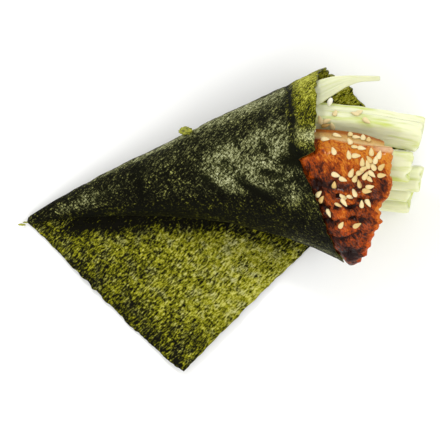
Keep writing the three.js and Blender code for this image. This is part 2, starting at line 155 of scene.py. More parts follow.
# ---- Meshes ---------------------------------------------------------------------------------------------
def make_piece(name, points, faces, materials, slots=None, values=None, corner_uv=None):
    """A smooth mesh object from points in mm, with a material index for each face and named values."""
    placed = (np.asarray(points, float) - (*TIP_TO_ORIGIN, 0)) * MM
    mesh = bpy.data.meshes.new(name)
    mesh.from_pydata(placed.tolist(), [], [tuple(face) for face in faces])
    for material in materials:
        mesh.materials.append(material)
    if slots is not None:
        mesh.polygons.foreach_set("material_index", np.asarray(slots, dtype=np.int32))
    mesh.polygons.foreach_set("use_smooth", np.ones(len(mesh.polygons), dtype=bool))
    for key, data in (values or {}).items():
        attribute = mesh.attributes.new(key, "FLOAT", "POINT")
        attribute.data.foreach_set("value", np.asarray(data, dtype=np.float32).ravel())
    if corner_uv is not None:
        layer = mesh.uv_layers.new(name="UVMap")
        corners = np.zeros(len(mesh.loops), dtype=np.int32)
        mesh.loops.foreach_get("vertex_index", corners)
        layer.data.foreach_set("uv", np.asarray(corner_uv, dtype=np.float32)[corners].ravel())
    mesh.validate()
    mesh.update()
    piece = bpy.data.objects.new(name, mesh)
    bpy.context.scene.collection.objects.link(piece)
    return piece


def grid_quads(rows, columns, start, flip=False, around=False):
    """Quads over a grid of points numbered row by row from start. With around, the last column is joined to
    the first."""
    width = columns + (0 if around else 1)
    i, j = np.meshgrid(np.arange(rows), np.arange(columns), indexing="ij")
    here = start + i * width + j
    side = start + i * width + (j + 1) % width
    quads = np.stack([here, here + width, side + width, side], axis=-1).reshape(-1, 4)
    return quads[:, ::-1] if flip else quads


def ring_solid(rings, cap_rings, dish):
    """Points and faces of a closed solid through rings that run anticlockwise seen from the last one, each
    end closed by a cap of this many rings that is dished in, or stands out where dish is below 0."""
    count, sides = rings.shape[:2]
    lofted = [rings.reshape(-1, 3)]
    faces = [grid_quads(count - 1, sides, 0, flip=True, around=True)]
    total = count * sides
    for end in (0, count - 1):
        ring = rings[end]
        centre = ring.mean(axis=0)
        outward = centre - rings[1 if end == 0 else count - 2].mean(axis=0)
        outward = outward / np.linalg.norm(outward)
        previous = end * sides + np.arange(sides)
        for step in range(1, cap_rings + 1):
            share = step / (cap_rings + 1)
            lofted.append(ring + (centre - ring) * share - outward * dish * math.sin(share * math.pi / 2))
            current = total + np.arange(sides)
            total += sides
            quads = np.stack([previous, np.roll(previous, -1), np.roll(current, -1), current], axis=-1)
            faces.append(quads if end else quads[:, ::-1])
            previous = current
        lofted.append((centre - outward * dish)[None])
        fan = np.stack([previous, np.roll(previous, -1), np.full(sides, total)], axis=-1)
        total += 1
        faces.append(fan if end else fan[:, ::-1])
    face_list = [tuple(face) for block in faces for face in block.tolist()]
    return np.concatenate(lofted), face_list


def facing_out(points, faces):
    """The faces of a closed solid, all turned to face outwards."""
    volume = 0.0
    for face in faces:
        first = points[face[0]]
        for k in range(1, len(face) - 1):
            volume += np.dot(first, np.cross(points[face[k]], points[face[k + 1]]))
    return faces if volume > 0 else [face[::-1] for face in faces]


# ---- Node trees -----------------------------------------------------------------------------------------
ATTRIBUTE, BUMP, MAPPING = "ShaderNodeAttribute", "ShaderNodeBump", "ShaderNodeMapping"
MATH, MIX, NOISE, RAMP = "ShaderNodeMath", "ShaderNodeMix", "ShaderNodeTexNoise", "ShaderNodeValToRGB"
FACTOR, FIRST, SECOND, MIXED = 0, 6, 7, 2  # the sockets of a Mix node that are for colours


def rgba(colour):
    """Red, green, blue and 1 from a hex colour, a grey value or linear red, green and blue."""
    if isinstance(colour, str):
        return (*linear(colour), 1)
    if isinstance(colour, (int, float)):
        return (colour, colour, colour, 1)
    return (*colour, 1)


def tint(colour, share):
    """A linear colour made lighter or darker."""
    return tuple(min(1.0, channel * share) for channel in colour)


def add_node(tree, kind, inputs=None, output=0, stops=(), **settings):
    """One node, with its inputs set to values or linked to sockets, its settings, and a colour ramp's stops
    of a position and a colour or grey value. Gives one of its outputs, or the node where it has none."""
    node = tree.nodes.new(kind)
    for key, value in settings.items():
        setattr(node, key, value)
    for key, value in (inputs or {}).items():
        if isinstance(value, bpy.types.NodeSocket):
            tree.links.new(value, node.inputs[key])
        else:
            node.inputs[key].default_value = value
    if stops:
        elements = node.color_ramp.elements
        while len(elements) < len(stops):
            elements.new(0.5)
        for element, (position, colour) in zip(elements, stops):
            element.position = position
            element.color = rgba(colour)
    return node.outputs[output] if node.outputs else node


def sum_of(tree, *terms):
    """A sum of sockets, each times its weight, held from 0 to 1."""
    total = 0.0
    for socket, weight in terms:
        total = add_node(tree, MATH, {0: socket, 1: weight, 2: total}, operation="MULTIPLY_ADD")
    return add_node(tree, "ShaderNodeClamp", {"Value": total})


def strands(tree, place, width_mm, stretch, angle, distortion=0.8, detail=2.5, kind="FBM"):
    """Tangled strands this wide, lying mostly at this angle in plan, in degrees."""
    laid = add_node(
        tree,
        MAPPING,
        {"Vector": place, "Rotation": (0, 0, math.radians(angle)), "Scale": (stretch, 1, 1)},
        vector_type="TEXTURE",
    )
    inputs = {"Vector": laid, "Scale": 1 / (width_mm * MM), "Detail": detail, "Distortion": distortion}
    return add_node(tree, NOISE, {**inputs, "Roughness": 0.6}, noise_type=kind)


def new_surface(name):
    """An empty material, its node tree and its object coordinates."""
    material = bpy.data.materials.new(name)
    material.use_nodes = True
    tree = material.node_tree
    tree.nodes.clear()
    return material, tree, add_node(tree, "ShaderNodeTexCoord", output="Object")


def finish_surface(tree, inputs):
    """The Principled shader with these inputs, led to the material's output."""
    shader = add_node(tree, "ShaderNodeBsdfPrincipled", inputs)
    add_node(tree, "ShaderNodeOutputMaterial", {"Surface": shader})


# ---- Materials ------------------------------------------------------------------------------------------
def nori_outer_material(given):
    """The side of roasted laver that dried against a smooth screen: a dense near-black mat with fine fibres
    matted over it, painted pale where glints lie along them, a grey-green painted sheen where it is bent and
    along its silhouettes, and yellow-green where it is mossy and where light shining through it is painted.
    Real fibres are a few hundredths of a mm wide, so they are drawn about 0.4 to 0.9 mm wide to show."""
    material, tree, place = new_surface("roasted nori, smooth side")
    # Painted sheen, moss with painted light shining through the sheet, and painted shade in creases.
    painted_sheen, moss_and_glow, crease_shade = (
        add_node(tree, ATTRIBUTE, output="Fac", attribute_name=name) for name in ("painted_sheen", "moss_and_glow", "crease_shade")
    )
    fine = strands(tree, place, 0.85, 2.8, 50)
    crossing = strands(tree, place, 0.8, 2.6, -35)
    hairs = strands(tree, place, 0.42, 3.4, 44, 0.6, 1)
    stray = strands(tree, place, 0.4, 2.8, -40, 0.6, 1)
    ridges = [(0.7, 0.0), (0.98, 1.0)]
    long_fibres = strands(tree, place, 2.4, 3.0, 38, 1.2, 1, "RIDGED_MULTIFRACTAL")
    cross_fibres = strands(tree, place, 2.1, 2.6, -42, 1.2, 1, "RIDGED_MULTIFRACTAL")
    clouds = add_node(tree, NOISE, {"Vector": place, "Scale": 1 / (7.0 * MM), "Detail": 3, "Roughness": 0.55})
    tone = sum_of(
        tree,
        (fine, 0.65),
        (crossing, 0.55),
        (hairs, 1.0),
        (stray, 0.85),
        (add_node(tree, RAMP, {"Fac": long_fibres}, stops=ridges), 0.14),
        (add_node(tree, RAMP, {"Fac": cross_fibres}, stops=ridges), 0.14),
        (clouds, 0.5),
        (painted_sheen, 0.13),
        (moss_and_glow, 0.12),
        (crease_shade, -0.35),
        (1.0, -1.445),
    )
    # The near-black mat; its paler stops are painted glints along the fibres.
    mat_and_glint_stops = [
        (0.34, tint(given.dark, 0.25)),
        (0.48, given.dark),
        (0.6, "#46461e"),
        (0.74, "#84863c"),
        (0.95, "#c2c482"),
    ]
    sheen_stops = [(0.3, "#191b0b"), (0.46, "#4f512c"), (0.66, "#94966a"), (0.92, "#d2d3ac")]
    moss_stops = [(0.36, "#10110a"), (0.51, tint(given.green, 0.4)), (0.66, given.green), (0.86, "#c2c250")]
    dark, pale, green = (
        add_node(tree, RAMP, {"Fac": tone}, stops=stops) for stops in (mat_and_glint_stops, sheen_stops, moss_stops)
    )
    # The painted sheen lays a pale grey-green over the dark mat.
    with_sheen = add_node(tree, MIX, {FACTOR: painted_sheen, FIRST: dark, SECOND: pale}, MIXED, data_type="RGBA")
    # Green where the sheet is mossy and where light shining through it is painted, less under the painted
    # sheen.
    green_share = sum_of(tree, (moss_and_glow, 1.0), (painted_sheen, -0.65))
    colour = add_node(tree, MIX, {FACTOR: green_share, FIRST: with_sheen, SECOND: green}, MIXED, data_type="RGBA")
    finish_surface(
        tree,
        {
            "Base Color": colour,
            "Roughness": add_node(tree, RAMP, {"Fac": fine}, stops=[(0.3, 0.62), (0.7, 0.45)]),
            "Specular IOR Level": 0.03,
            "Normal": add_node(tree, BUMP, {"Height": tone, "Distance": 0.5 * MM}),
        },
    )
    return material


def nori_inner_material(given):
    """The side of roasted laver that dried facing the air: loose tangled fronds, so a mossy yellow-green
    surface with near-black gaps between the fronds, greyer and yellower in places, and hardly any shine.
    The fronds, really a fraction of a mm wide, are drawn 0.4 to 0.9 mm wide to show."""
    material, tree, place = new_surface("roasted nori, rough side")
    # Painted shade, painted shade in creases, and painted light shining through the sheet, which keeps it
    # yellow rather than grey.
    shade, crease_shade, glow_and_moss = (
        add_node(tree, ATTRIBUTE, output="Fac", attribute_name=name) for name in ("shade", "crease_shade", "moss_and_glow")
    )
    laid = strands(tree, place, 0.9, 2.7, 48, 1.0, 3)
    crossing = strands(tree, place, 0.8, 2.2, -30, 0.8, 3)
    hairs = strands(tree, place, 0.42, 3.0, 44, 0.6, 1)
    clouds = add_node(tree, NOISE, {"Vector": place, "Scale": 1 / (9.0 * MM), "Detail": 3, "Roughness": 0.55})
    tone = sum_of(
        tree,
        (laid, 1.1),
        (crossing, 0.85),
        (hairs, 1.35),
        (clouds, 0.4),
        (shade, -0.3),
        (crease_shade, -0.3),
        (1.0, -1.365),
    )
    yellow_stops = [
        (0.28, "#0d0c03"),
        (0.42, tint(given.green, 0.28)),
        (0.57, given.green),
        (0.72, "#a5a320"),
        (0.92, "#cdc964"),
    ]
    yellow = add_node(tree, RAMP, {"Fac": tone}, stops=yellow_stops)
    grey_stops = [(0.28, "#12110b"), (0.45, "#45452a"), (0.62, "#858555"), (0.85, "#c6c6a2")]
    grey = add_node(tree, RAMP, {"Fac": tone}, stops=grey_stops)
    patches = {"Vector": place, "Scale": 1 / (3.0 * MM), "Detail": 3, "Roughness": 0.55}
    drier = add_node(tree, RAMP, {"Fac": add_node(tree, NOISE, patches)}, stops=[(0.48, 0.0), (0.68, 0.5)])
    dried = sum_of(tree, (drier, 1.0), (glow_and_moss, -0.8))
    colour = add_node(tree, MIX, {FACTOR: dried, FIRST: yellow, SECOND: grey}, MIXED, data_type="RGBA")
    finish_surface(
        tree,
        {
            "Base Color": colour,
            "Roughness": 0.75,
            "Specular IOR Level": 0.07,
            "Normal": add_node(tree, BUMP, {"Height": tone, "Distance": 0.9 * MM}),
        },
    )
    return material


def eel_glaze_material(given):
    """Grilled eel brushed with sweet soy sauce: fat and sugar browned to orange, redder where the sauce lay
    thick, black where it charred, and darker in its furrows and hollows as painted shade, under a wet glossy
    coat. The lines between the fine flakes, really hair-thin, are drawn about 0.5 mm wide to show."""
    material, tree, place = new_surface("sweet soy glaze on grilled eel")
    # Pit shade is painted shade where the glazed top is pressed in.
    flesh, char, rim, pit_shade, sauce, bands = (
        add_node(tree, ATTRIBUTE, output="Fac", attribute_name=name)
        for name in ("flesh", "char", "rim", "pit_shade", "sauce", "layer")
    )
    patches = {"Vector": place, "Scale": 1 / (3.6 * MM), "Detail": 4, "Roughness": 0.65}
    mottle = add_node(tree, NOISE, {**patches, "Distortion": 0.6})
    wrinkles = strands(tree, place, 1.15, 3.4, -62, 1.8, 3)
    flakes = strands(tree, place, 0.55, 2.6, -50, 1.0, 1)
    fine = add_node(tree, NOISE, {"Vector": place, "Scale": 1 / (1.1 * MM), "Detail": 3, "Roughness": 0.55})
    tone = sum_of(
        tree,
        (mottle, 0.55),
        (wrinkles, 0.8),
        (flakes, 0.42),
        (pit_shade, 0.5),
        (fine, 0.35),
        (rim, -0.28),
        (char, 0.3),
        (1.0, -0.83),
    )
    sticky_stops = [
        (0.24, "#be5412"),
        (0.38, "#a23806"),
        (0.52, tint(given.glaze, 0.74)),
        (0.66, "#401506"),
        (0.82, "#1c0905"),
    ]
    browned_stops = [
        (0.24, "#c97c24"),
        (0.36, "#ae520e"),
        (0.48, given.glaze),
        (0.62, "#5c2408"),
        (0.78, "#240e07"),
    ]
    meat_stops = [
        (0.04, "#c08a4c"),
        (0.1, "#d9b184"),
        (0.2, "#d5ac86"),
        (0.25, "#b58a58"),
        (0.31, "#d0ae78"),
        (0.5, given.meat),
        (0.72, "#b98a48"),
        (0.86, "#9a5618"),
    ]
    sticky = add_node(tree, RAMP, {"Fac": tone}, stops=sticky_stops)
    browned = add_node(tree, RAMP, {"Fac": tone}, stops=browned_stops)
    layers = sum_of(tree, (bands, 1.0), (mottle, 0.1), (wrinkles, 0.06))
    meat = add_node(tree, RAMP, {"Fac": layers}, stops=meat_stops)
    glazed = add_node(tree, MIX, {FACTOR: sauce, FIRST: browned, SECOND: sticky}, MIXED, data_type="RGBA")
    wetness = sum_of(tree, (fine, 0.6), (char, 0.3), (flesh, 0.35))
    height = sum_of(tree, (wrinkles, -0.5), (fine, -0.3), (flakes, -0.3), (1.0, 1.05))
    colour = add_node(tree, MIX, {FACTOR: flesh, FIRST: glazed, SECOND: meat}, MIXED, data_type="RGBA")
    finish_surface(
        tree,
        {
            "Base Color": colour,
            "Roughness": add_node(tree, RAMP, {"Fac": wetness}, stops=[(0.2, 0.22), (0.8, 0.48)]),
            "Coat Weight": 0.22,
            "Coat Roughness": 0.08,
            "Coat IOR": 1.4,
            "Specular IOR Level": 0.04,
            "Subsurface Weight": 0.12,
            "Subsurface Radius": (1.0, 0.35, 0.12),
            "Subsurface Scale": 1.2 * MM,
            "Normal": add_node(tree, BUMP, {"Height": height, "Distance": 1.1 * MM}),
        },
    )
    return material


def cucumber_material(name, pale, green, glow_mm=3.0):
    """Fresh cut cucumber flesh: pale, watery and slightly see-through, with green-yellow strands running
    lengthwise and a wet cut face."""
    material, tree, place = new_surface(name)
    # The value side is the greener flesh, and painted light on sticks that lie in shade.
    side = add_node(tree, ATTRIBUTE, output="Fac", attribute_name="side")
    along = add_node(tree, "ShaderNodeUVMap")
    stretched = add_node(tree, MAPPING, {"Vector": along, "Scale": (0.09, 0.75, 1.0)})
    fibres = add_node(tree, NOISE, {"Vector": stretched, "Scale": 1.0, "Detail": 3.0})
    clouds = add_node(tree, NOISE, {"Vector": place, "Scale": 1 / (7.0 * MM), "Detail": 2, "Roughness": 0.55})
    tone = sum_of(tree, (fibres, 0.75), (side, 0.5), (clouds, 0.25))
    stops = [(0.3, tint(pale, 1.12)), (0.55, pale), (0.78, green), (1.0, tint(green, 0.92))]
    finish_surface(
        tree,
        {
            "Base Color": add_node(tree, RAMP, {"Fac": tone}, stops=stops),
            "Roughness": 0.32,
            "IOR": 1.35,
            "Subsurface Weight": 0.45,
            "Subsurface Radius": (1.0, 0.95, 0.6),
            "Subsurface Scale": glow_mm * MM,
            "Normal": add_node(tree, BUMP, {"Height": fibres, "Distance": 0.35 * MM}),
        },
    )
    return material


def seed_material():
    """Hulled toasted sesame: ivory, some toasted to gold, with a dull waxy skin."""
    material, tree, place = new_surface("toasted sesame")
    toasted = add_node(tree, ATTRIBUTE, output="Fac", attribute_name="tint")
    fine = add_node(tree, NOISE, {"Vector": place, "Scale": 1 / (0.9 * MM), "Detail": 2, "Roughness": 0.55})
    tone = sum_of(tree, (toasted, 0.85), (fine, 0.3))
    stops = [(0.1, "#dccb9a"), (0.6, "#d1ba7e"), (0.9, "#c49e52"), (1.0, "#ad7a30")]
    finish_surface(
        tree,
        {
            "Base Color": add_node(tree, RAMP, {"Fac": tone}, stops=stops),
            "Roughness": 0.42,
            "Subsurface Weight": 0.2,
            "Subsurface Radius": (1.0, 0.7, 0.4),
            "Subsurface Scale": 0.6 * MM,
            "Normal": add_node(tree, BUMP, {"Height": fine, "Distance": 0.1 * MM}),
        },
    )
    return material


def rice_material():
    """Steamed short-grain rice: white, sticky and translucent, brighter in the middle of each grain."""
    material, tree, place = new_surface("steamed rice")
    fine = add_node(tree, NOISE, {"Vector": place, "Scale": 1 / (1.4 * MM), "Detail": 2, "Roughness": 0.55})
    finish_surface(
        tree,
        {
            "Base Color": add_node(tree, RAMP, {"Fac": fine}, stops=[(0.3, "#e4dfce"), (0.7, "#f4f1e6")]),
            "Roughness": 0.35,
            "Subsurface Weight": 0.5,
            "Subsurface Radius": (1.0, 0.95, 0.85),
            "Subsurface Scale": 1.5 * MM,
            "Normal": add_node(tree, BUMP, {"Height": fine, "Distance": 0.12 * MM}),
        },
    )
    return material


def crumb_material(name, dark, light):
    """Dry laver broken through, so matt and mottled between two greens."""
    material, tree, place = new_surface(name)
    fine = add_node(tree, NOISE, {"Vector": place, "Scale": 1 / (0.9 * MM), "Detail": 3, "Roughness": 0.55})
    finish_surface(
        tree,
        {
            "Base Color": add_node(tree, RAMP, {"Fac": fine}, stops=[(0.35, dark), (0.65, light)]),
            "Roughness": 0.6,
            "Normal": add_node(tree, BUMP, {"Height": fine, "Distance": 0.3 * MM}),
        },
    )
    return material


# ---- Grains and seeds, with Geometry Nodes --------------------------------------------------------------
def grain_tree(name):
    """A node group that puts a tapered grain on every point, turned and scaled by the point's attributes."""
    tree = bpy.data.node_groups.new(name, "GeometryNodeTree")
    tree.interface.new_socket("Points", in_out="INPUT", socket_type="NodeSocketGeometry")
    sizes = {"Length": 5.6 * MM, "Width": 2.5 * MM, "Thickness": 2.5 * MM, "Taper": 0.0}
    for key, value in sizes.items():
        socket = tree.interface.new_socket(key, in_out="INPUT", socket_type="NodeSocketFloat")
        socket.default_value = value
    tree.interface.new_socket("Finish", in_out="INPUT", socket_type="NodeSocketMaterial")
    tree.interface.new_socket("Grains", in_out="OUTPUT", socket_type="NodeSocketGeometry")
    given = add_node(tree, "NodeGroupInput").node.outputs
    ball = add_node(tree, "GeometryNodeMeshUVSphere", {"Segments": 10, "Rings": 7, "Radius": 0.5})
    upright = add_node(tree, "GeometryNodeTransform", {"Geometry": ball, "Rotation": (0, math.pi / 2, 0)})
    position = add_node(tree, "GeometryNodeInputPosition")
    at = add_node(tree, "ShaderNodeSeparateXYZ", {"Vector": position}).node.outputs
    narrowing = add_node(tree, MATH, {0: at["X"], 1: given["Taper"], 2: 1.0}, operation="MULTIPLY_ADD")
    axes = {"X": add_node(tree, MATH, {0: at["X"], 1: given["Length"]}, operation="MULTIPLY")}
    for axis, size in (("Y", "Width"), ("Z", "Thickness")):
        wide = add_node(tree, MATH, {0: at[axis], 1: given[size]}, operation="MULTIPLY")
        axes[axis] = add_node(tree, MATH, {0: wide, 1: narrowing}, operation="MULTIPLY")
    moved = add_node(tree, "ShaderNodeCombineXYZ", axes)
    shaped = add_node(tree, "GeometryNodeSetPosition", {"Geometry": upright, "Position": moved})
    smooth = add_node(tree, "GeometryNodeSetShadeSmooth", {"Geometry": shaped})
    turn, scale = (
        add_node(
            tree, "GeometryNodeInputNamedAttribute", {"Name": key}, "Attribute", data_type="FLOAT_VECTOR"
        )
        for key in ("turn", "stretch")
    )
    placed = add_node(
        tree,
        "GeometryNodeInstanceOnPoints",
        {"Points": given["Points"], "Instance": smooth, "Rotation": turn, "Scale": scale},
    )
    real = add_node(tree, "GeometryNodeRealizeInstances", {"Geometry": placed})
    coated = add_node(tree, "GeometryNodeSetMaterial", {"Geometry": real, "Material": given["Finish"]})
    add_node(tree, "NodeGroupOutput", {"Grains": coated})
    return tree


def strewn_grains(name, places, turns, stretches, tints, sizes, material):
    """One mesh of grains at these places in mm, each turned by its quaternion and stretched."""
    seeds = make_piece(name + "_points", places, [], [])
    for key, data in (("turn", [q.to_euler() for q in turns]), ("stretch", stretches)):
        attribute = seeds.data.attributes.new(key, "FLOAT_VECTOR", "POINT")
        attribute.data.foreach_set("vector", np.array([tuple(v) for v in data], dtype=np.float32).ravel())
    attribute = seeds.data.attributes.new("tint", "FLOAT", "POINT")
    attribute.data.foreach_set("value", np.array(tints, dtype=np.float32))
    modifier = seeds.modifiers.new("Grains", "NODES")
    tree = bpy.data.node_groups.get("Strewn grains") or grain_tree("Strewn grains")
    modifier.node_group = tree
    sockets = {item.name: item.identifier for item in tree.interface.items_tree if item.in_out == "INPUT"}
    for key, value in sizes.items():
        modifier[sockets[key]] = value
    modifier[sockets["Finish"]] = material
    evaluated = seeds.evaluated_get(bpy.context.evaluated_depsgraph_get())
    mesh = bpy.data.meshes.new_from_object(evaluated)
    mesh.name = name
    piece = bpy.data.objects.new(name, mesh)
    bpy.context.scene.collection.objects.link(piece)
    bpy.data.objects.remove(seeds)
    return piece


# ---- Nori -----------------------------------------------------------------------------------------------
def tail_wave(share, across):
    """How far the loose tail lifts off the table."""
    free = 1 - smoothstep(across, 0.25, 0.75)
    wave = 0.5 + 0.5 * np.sin(7 * share + 5 * across)
    return 1.6 * wave * free * smoothstep(share, 0.15, 0.5)


def tail_points(share, across, lift):
    """Points of the tail between its free edge and the line where the roll meets the table."""
    turn = np.radians(TAIL_ANGLE - TAIL_BULGE * np.sin(2 * np.pi * share - 2.2) * (1 - across))
    roll_end = inside_cone(np.array(MOUTH_ENDS[0]), np.array(0.0), 0.0)[:2]
    bow = inside_cone(share * MOUTH_ENDS[0], 0.0 * share, 0.0)[..., :2] - roll_end * share[..., None]
    drawn_in = 1 - TAIL_DRAWN_IN * np.sin(np.pi * across) * share
    edge_x, edge_y = TAIL_EDGE * np.cos(turn), TAIL_EDGE * np.sin(turn)
    x = (edge_x * (1 - across) + roll_end[0] * across) * share * drawn_in + bow[..., 0] * across
    y = (edge_y * (1 - across) + roll_end[1] * across) * share * drawn_in + bow[..., 1] * across
    return np.stack([x, y, lift + tail_wave(share, across)], axis=-1)


def sheet_face(share, column, tail_columns, roll_columns, depth, pressed):
    """One face of the sheet: its columns run over the tail and then round the roll."""
    across = np.clip(column / tail_columns, 0, 1)
    angle = np.clip((column - tail_columns) / roll_columns, 0, 1) * LAP_END
    along = share * mouth_end(angle)
    near_tip = smoothstep(along, 0, 9)
    inward = (layer_depth(angle) + depth) * near_tip + dent_at(along, angle) + pressed
    rolled = inside_cone(along, angle, inward)
    flat = tail_points(share, across, depth * near_tip - pressed)
    return np.where((column < tail_columns)[..., None], flat, rolled)


def plan_patch(points, x, y, length, width, turn):
    """A soft oval patch in plan, its long side at this angle in degrees."""
    c, s = math.cos(math.radians(turn)), math.sin(math.radians(turn))
    dx, dy = points[..., 0] - x, points[..., 1] - y
    return bump_at(dx * c + dy * s, length) * bump_at(dy * c - dx * s, width)


def plan_line(points, x0, y0, x1, y1, width):
    """A soft line in plan from one point to another."""
    start, end = np.array([x0, y0]), np.array([x1, y1])
    away = points[..., :2] - start
    share = np.clip(away @ (end - start) / np.dot(end - start, end - start), 0, 1)
    gap = np.linalg.norm(away - share[..., None] * (end - start), axis=-1)
    return bump_at(gap, width)


# Patches of painted sheen on the smooth side: x, y, length, width, direction and strength.
NORI_PAINTED_SHEEN = (
    (62.0, 18.9, 5.0, 4.0, 40, 0.9),
    (66.5, 13.2, 4.5, 2.2, -35, 1.1),
    (63.5, 15.0, 2.5, 3.5, 70, 0.5),
    (67.3, 21.5, 4.5, 6.0, 10, 1.0),
    (76.0, 18.4, 8.0, 3.4, 12, 0.9),
    (77.5, 12.8, 6.0, 1.8, -30, 0.9),
    (83.2, 24.5, 4.5, 3.6, 20, 1.0),
    (84.0, 31.5, 3.0, 4.0, 60, 0.6),
    (76.5, 27.5, 6.0, 2.8, 25, 0.8),
    (84.5, 13.5, 3.5, 3.5, 0, 0.7),
    (88.0, 17.0, 2.5, 3.0, 90, 0.5),
    (88.5, 8.0, 4.5, 3.0, 60, 0.45),
    (89.0, 31.5, 1.6, 6.0, 5, 0.6),
    (94.0, 28.6, 2.8, 4.2, 90, 1.3),
    (14.0, 5.2, 6.0, 2.0, 20, 0.4),
    (27.0, 10.5, 6.0, 2.5, 24, 0.25),
    (20.3, 7.8, 3.0, 3.0, 20, 0.8),
    (70.0, 33.0, 24.0, 3.0, 27, 0.1),
    (48.0, 22.5, 18.0, 3.0, 27, 0.2),
)
# Creases of the rolled sheet, pressed in and darkened as painted shade: where each starts and ends in plan,
# its width and strength.
NORI_CREASES = (
    (86.7, 45.5, 88.2, 33.6, 1.0, 0.9),
    (88.2, 33.6, 88.2, 24.2, 1.1, 1.0),
    (88.2, 24.2, 92.0, 20.4, 1.4, 1.0),
    (84.5, 20.2, 92.0, 19.4, 1.5, 0.9),
    (78.0, 16.9, 84.5, 15.2, 0.9, 0.9),
    (70.0, 13.6, 81.0, 7.6, 1.0, 0.8),
    (59.7, 14.5, 65.0, 8.7, 1.1, 0.8),
    (83.5, 12.0, 90.0, 14.2, 0.8, 0.8),
    (66.0, 20.5, 72.0, 14.5, 0.8, 0.6),
    (36.0, 17.0, 38.5, 9.0, 1.2, 0.6),
    (78.0, 26.0, 80.5, 21.0, 0.9, 0.7),
)


NORI_ROWS, NORI_TAIL_COLUMNS, NORI_ROLL_COLUMNS = 120, 90, 290
TIP_CLOSES_OVER, TIP_HEIGHT = 1.6, 0.5


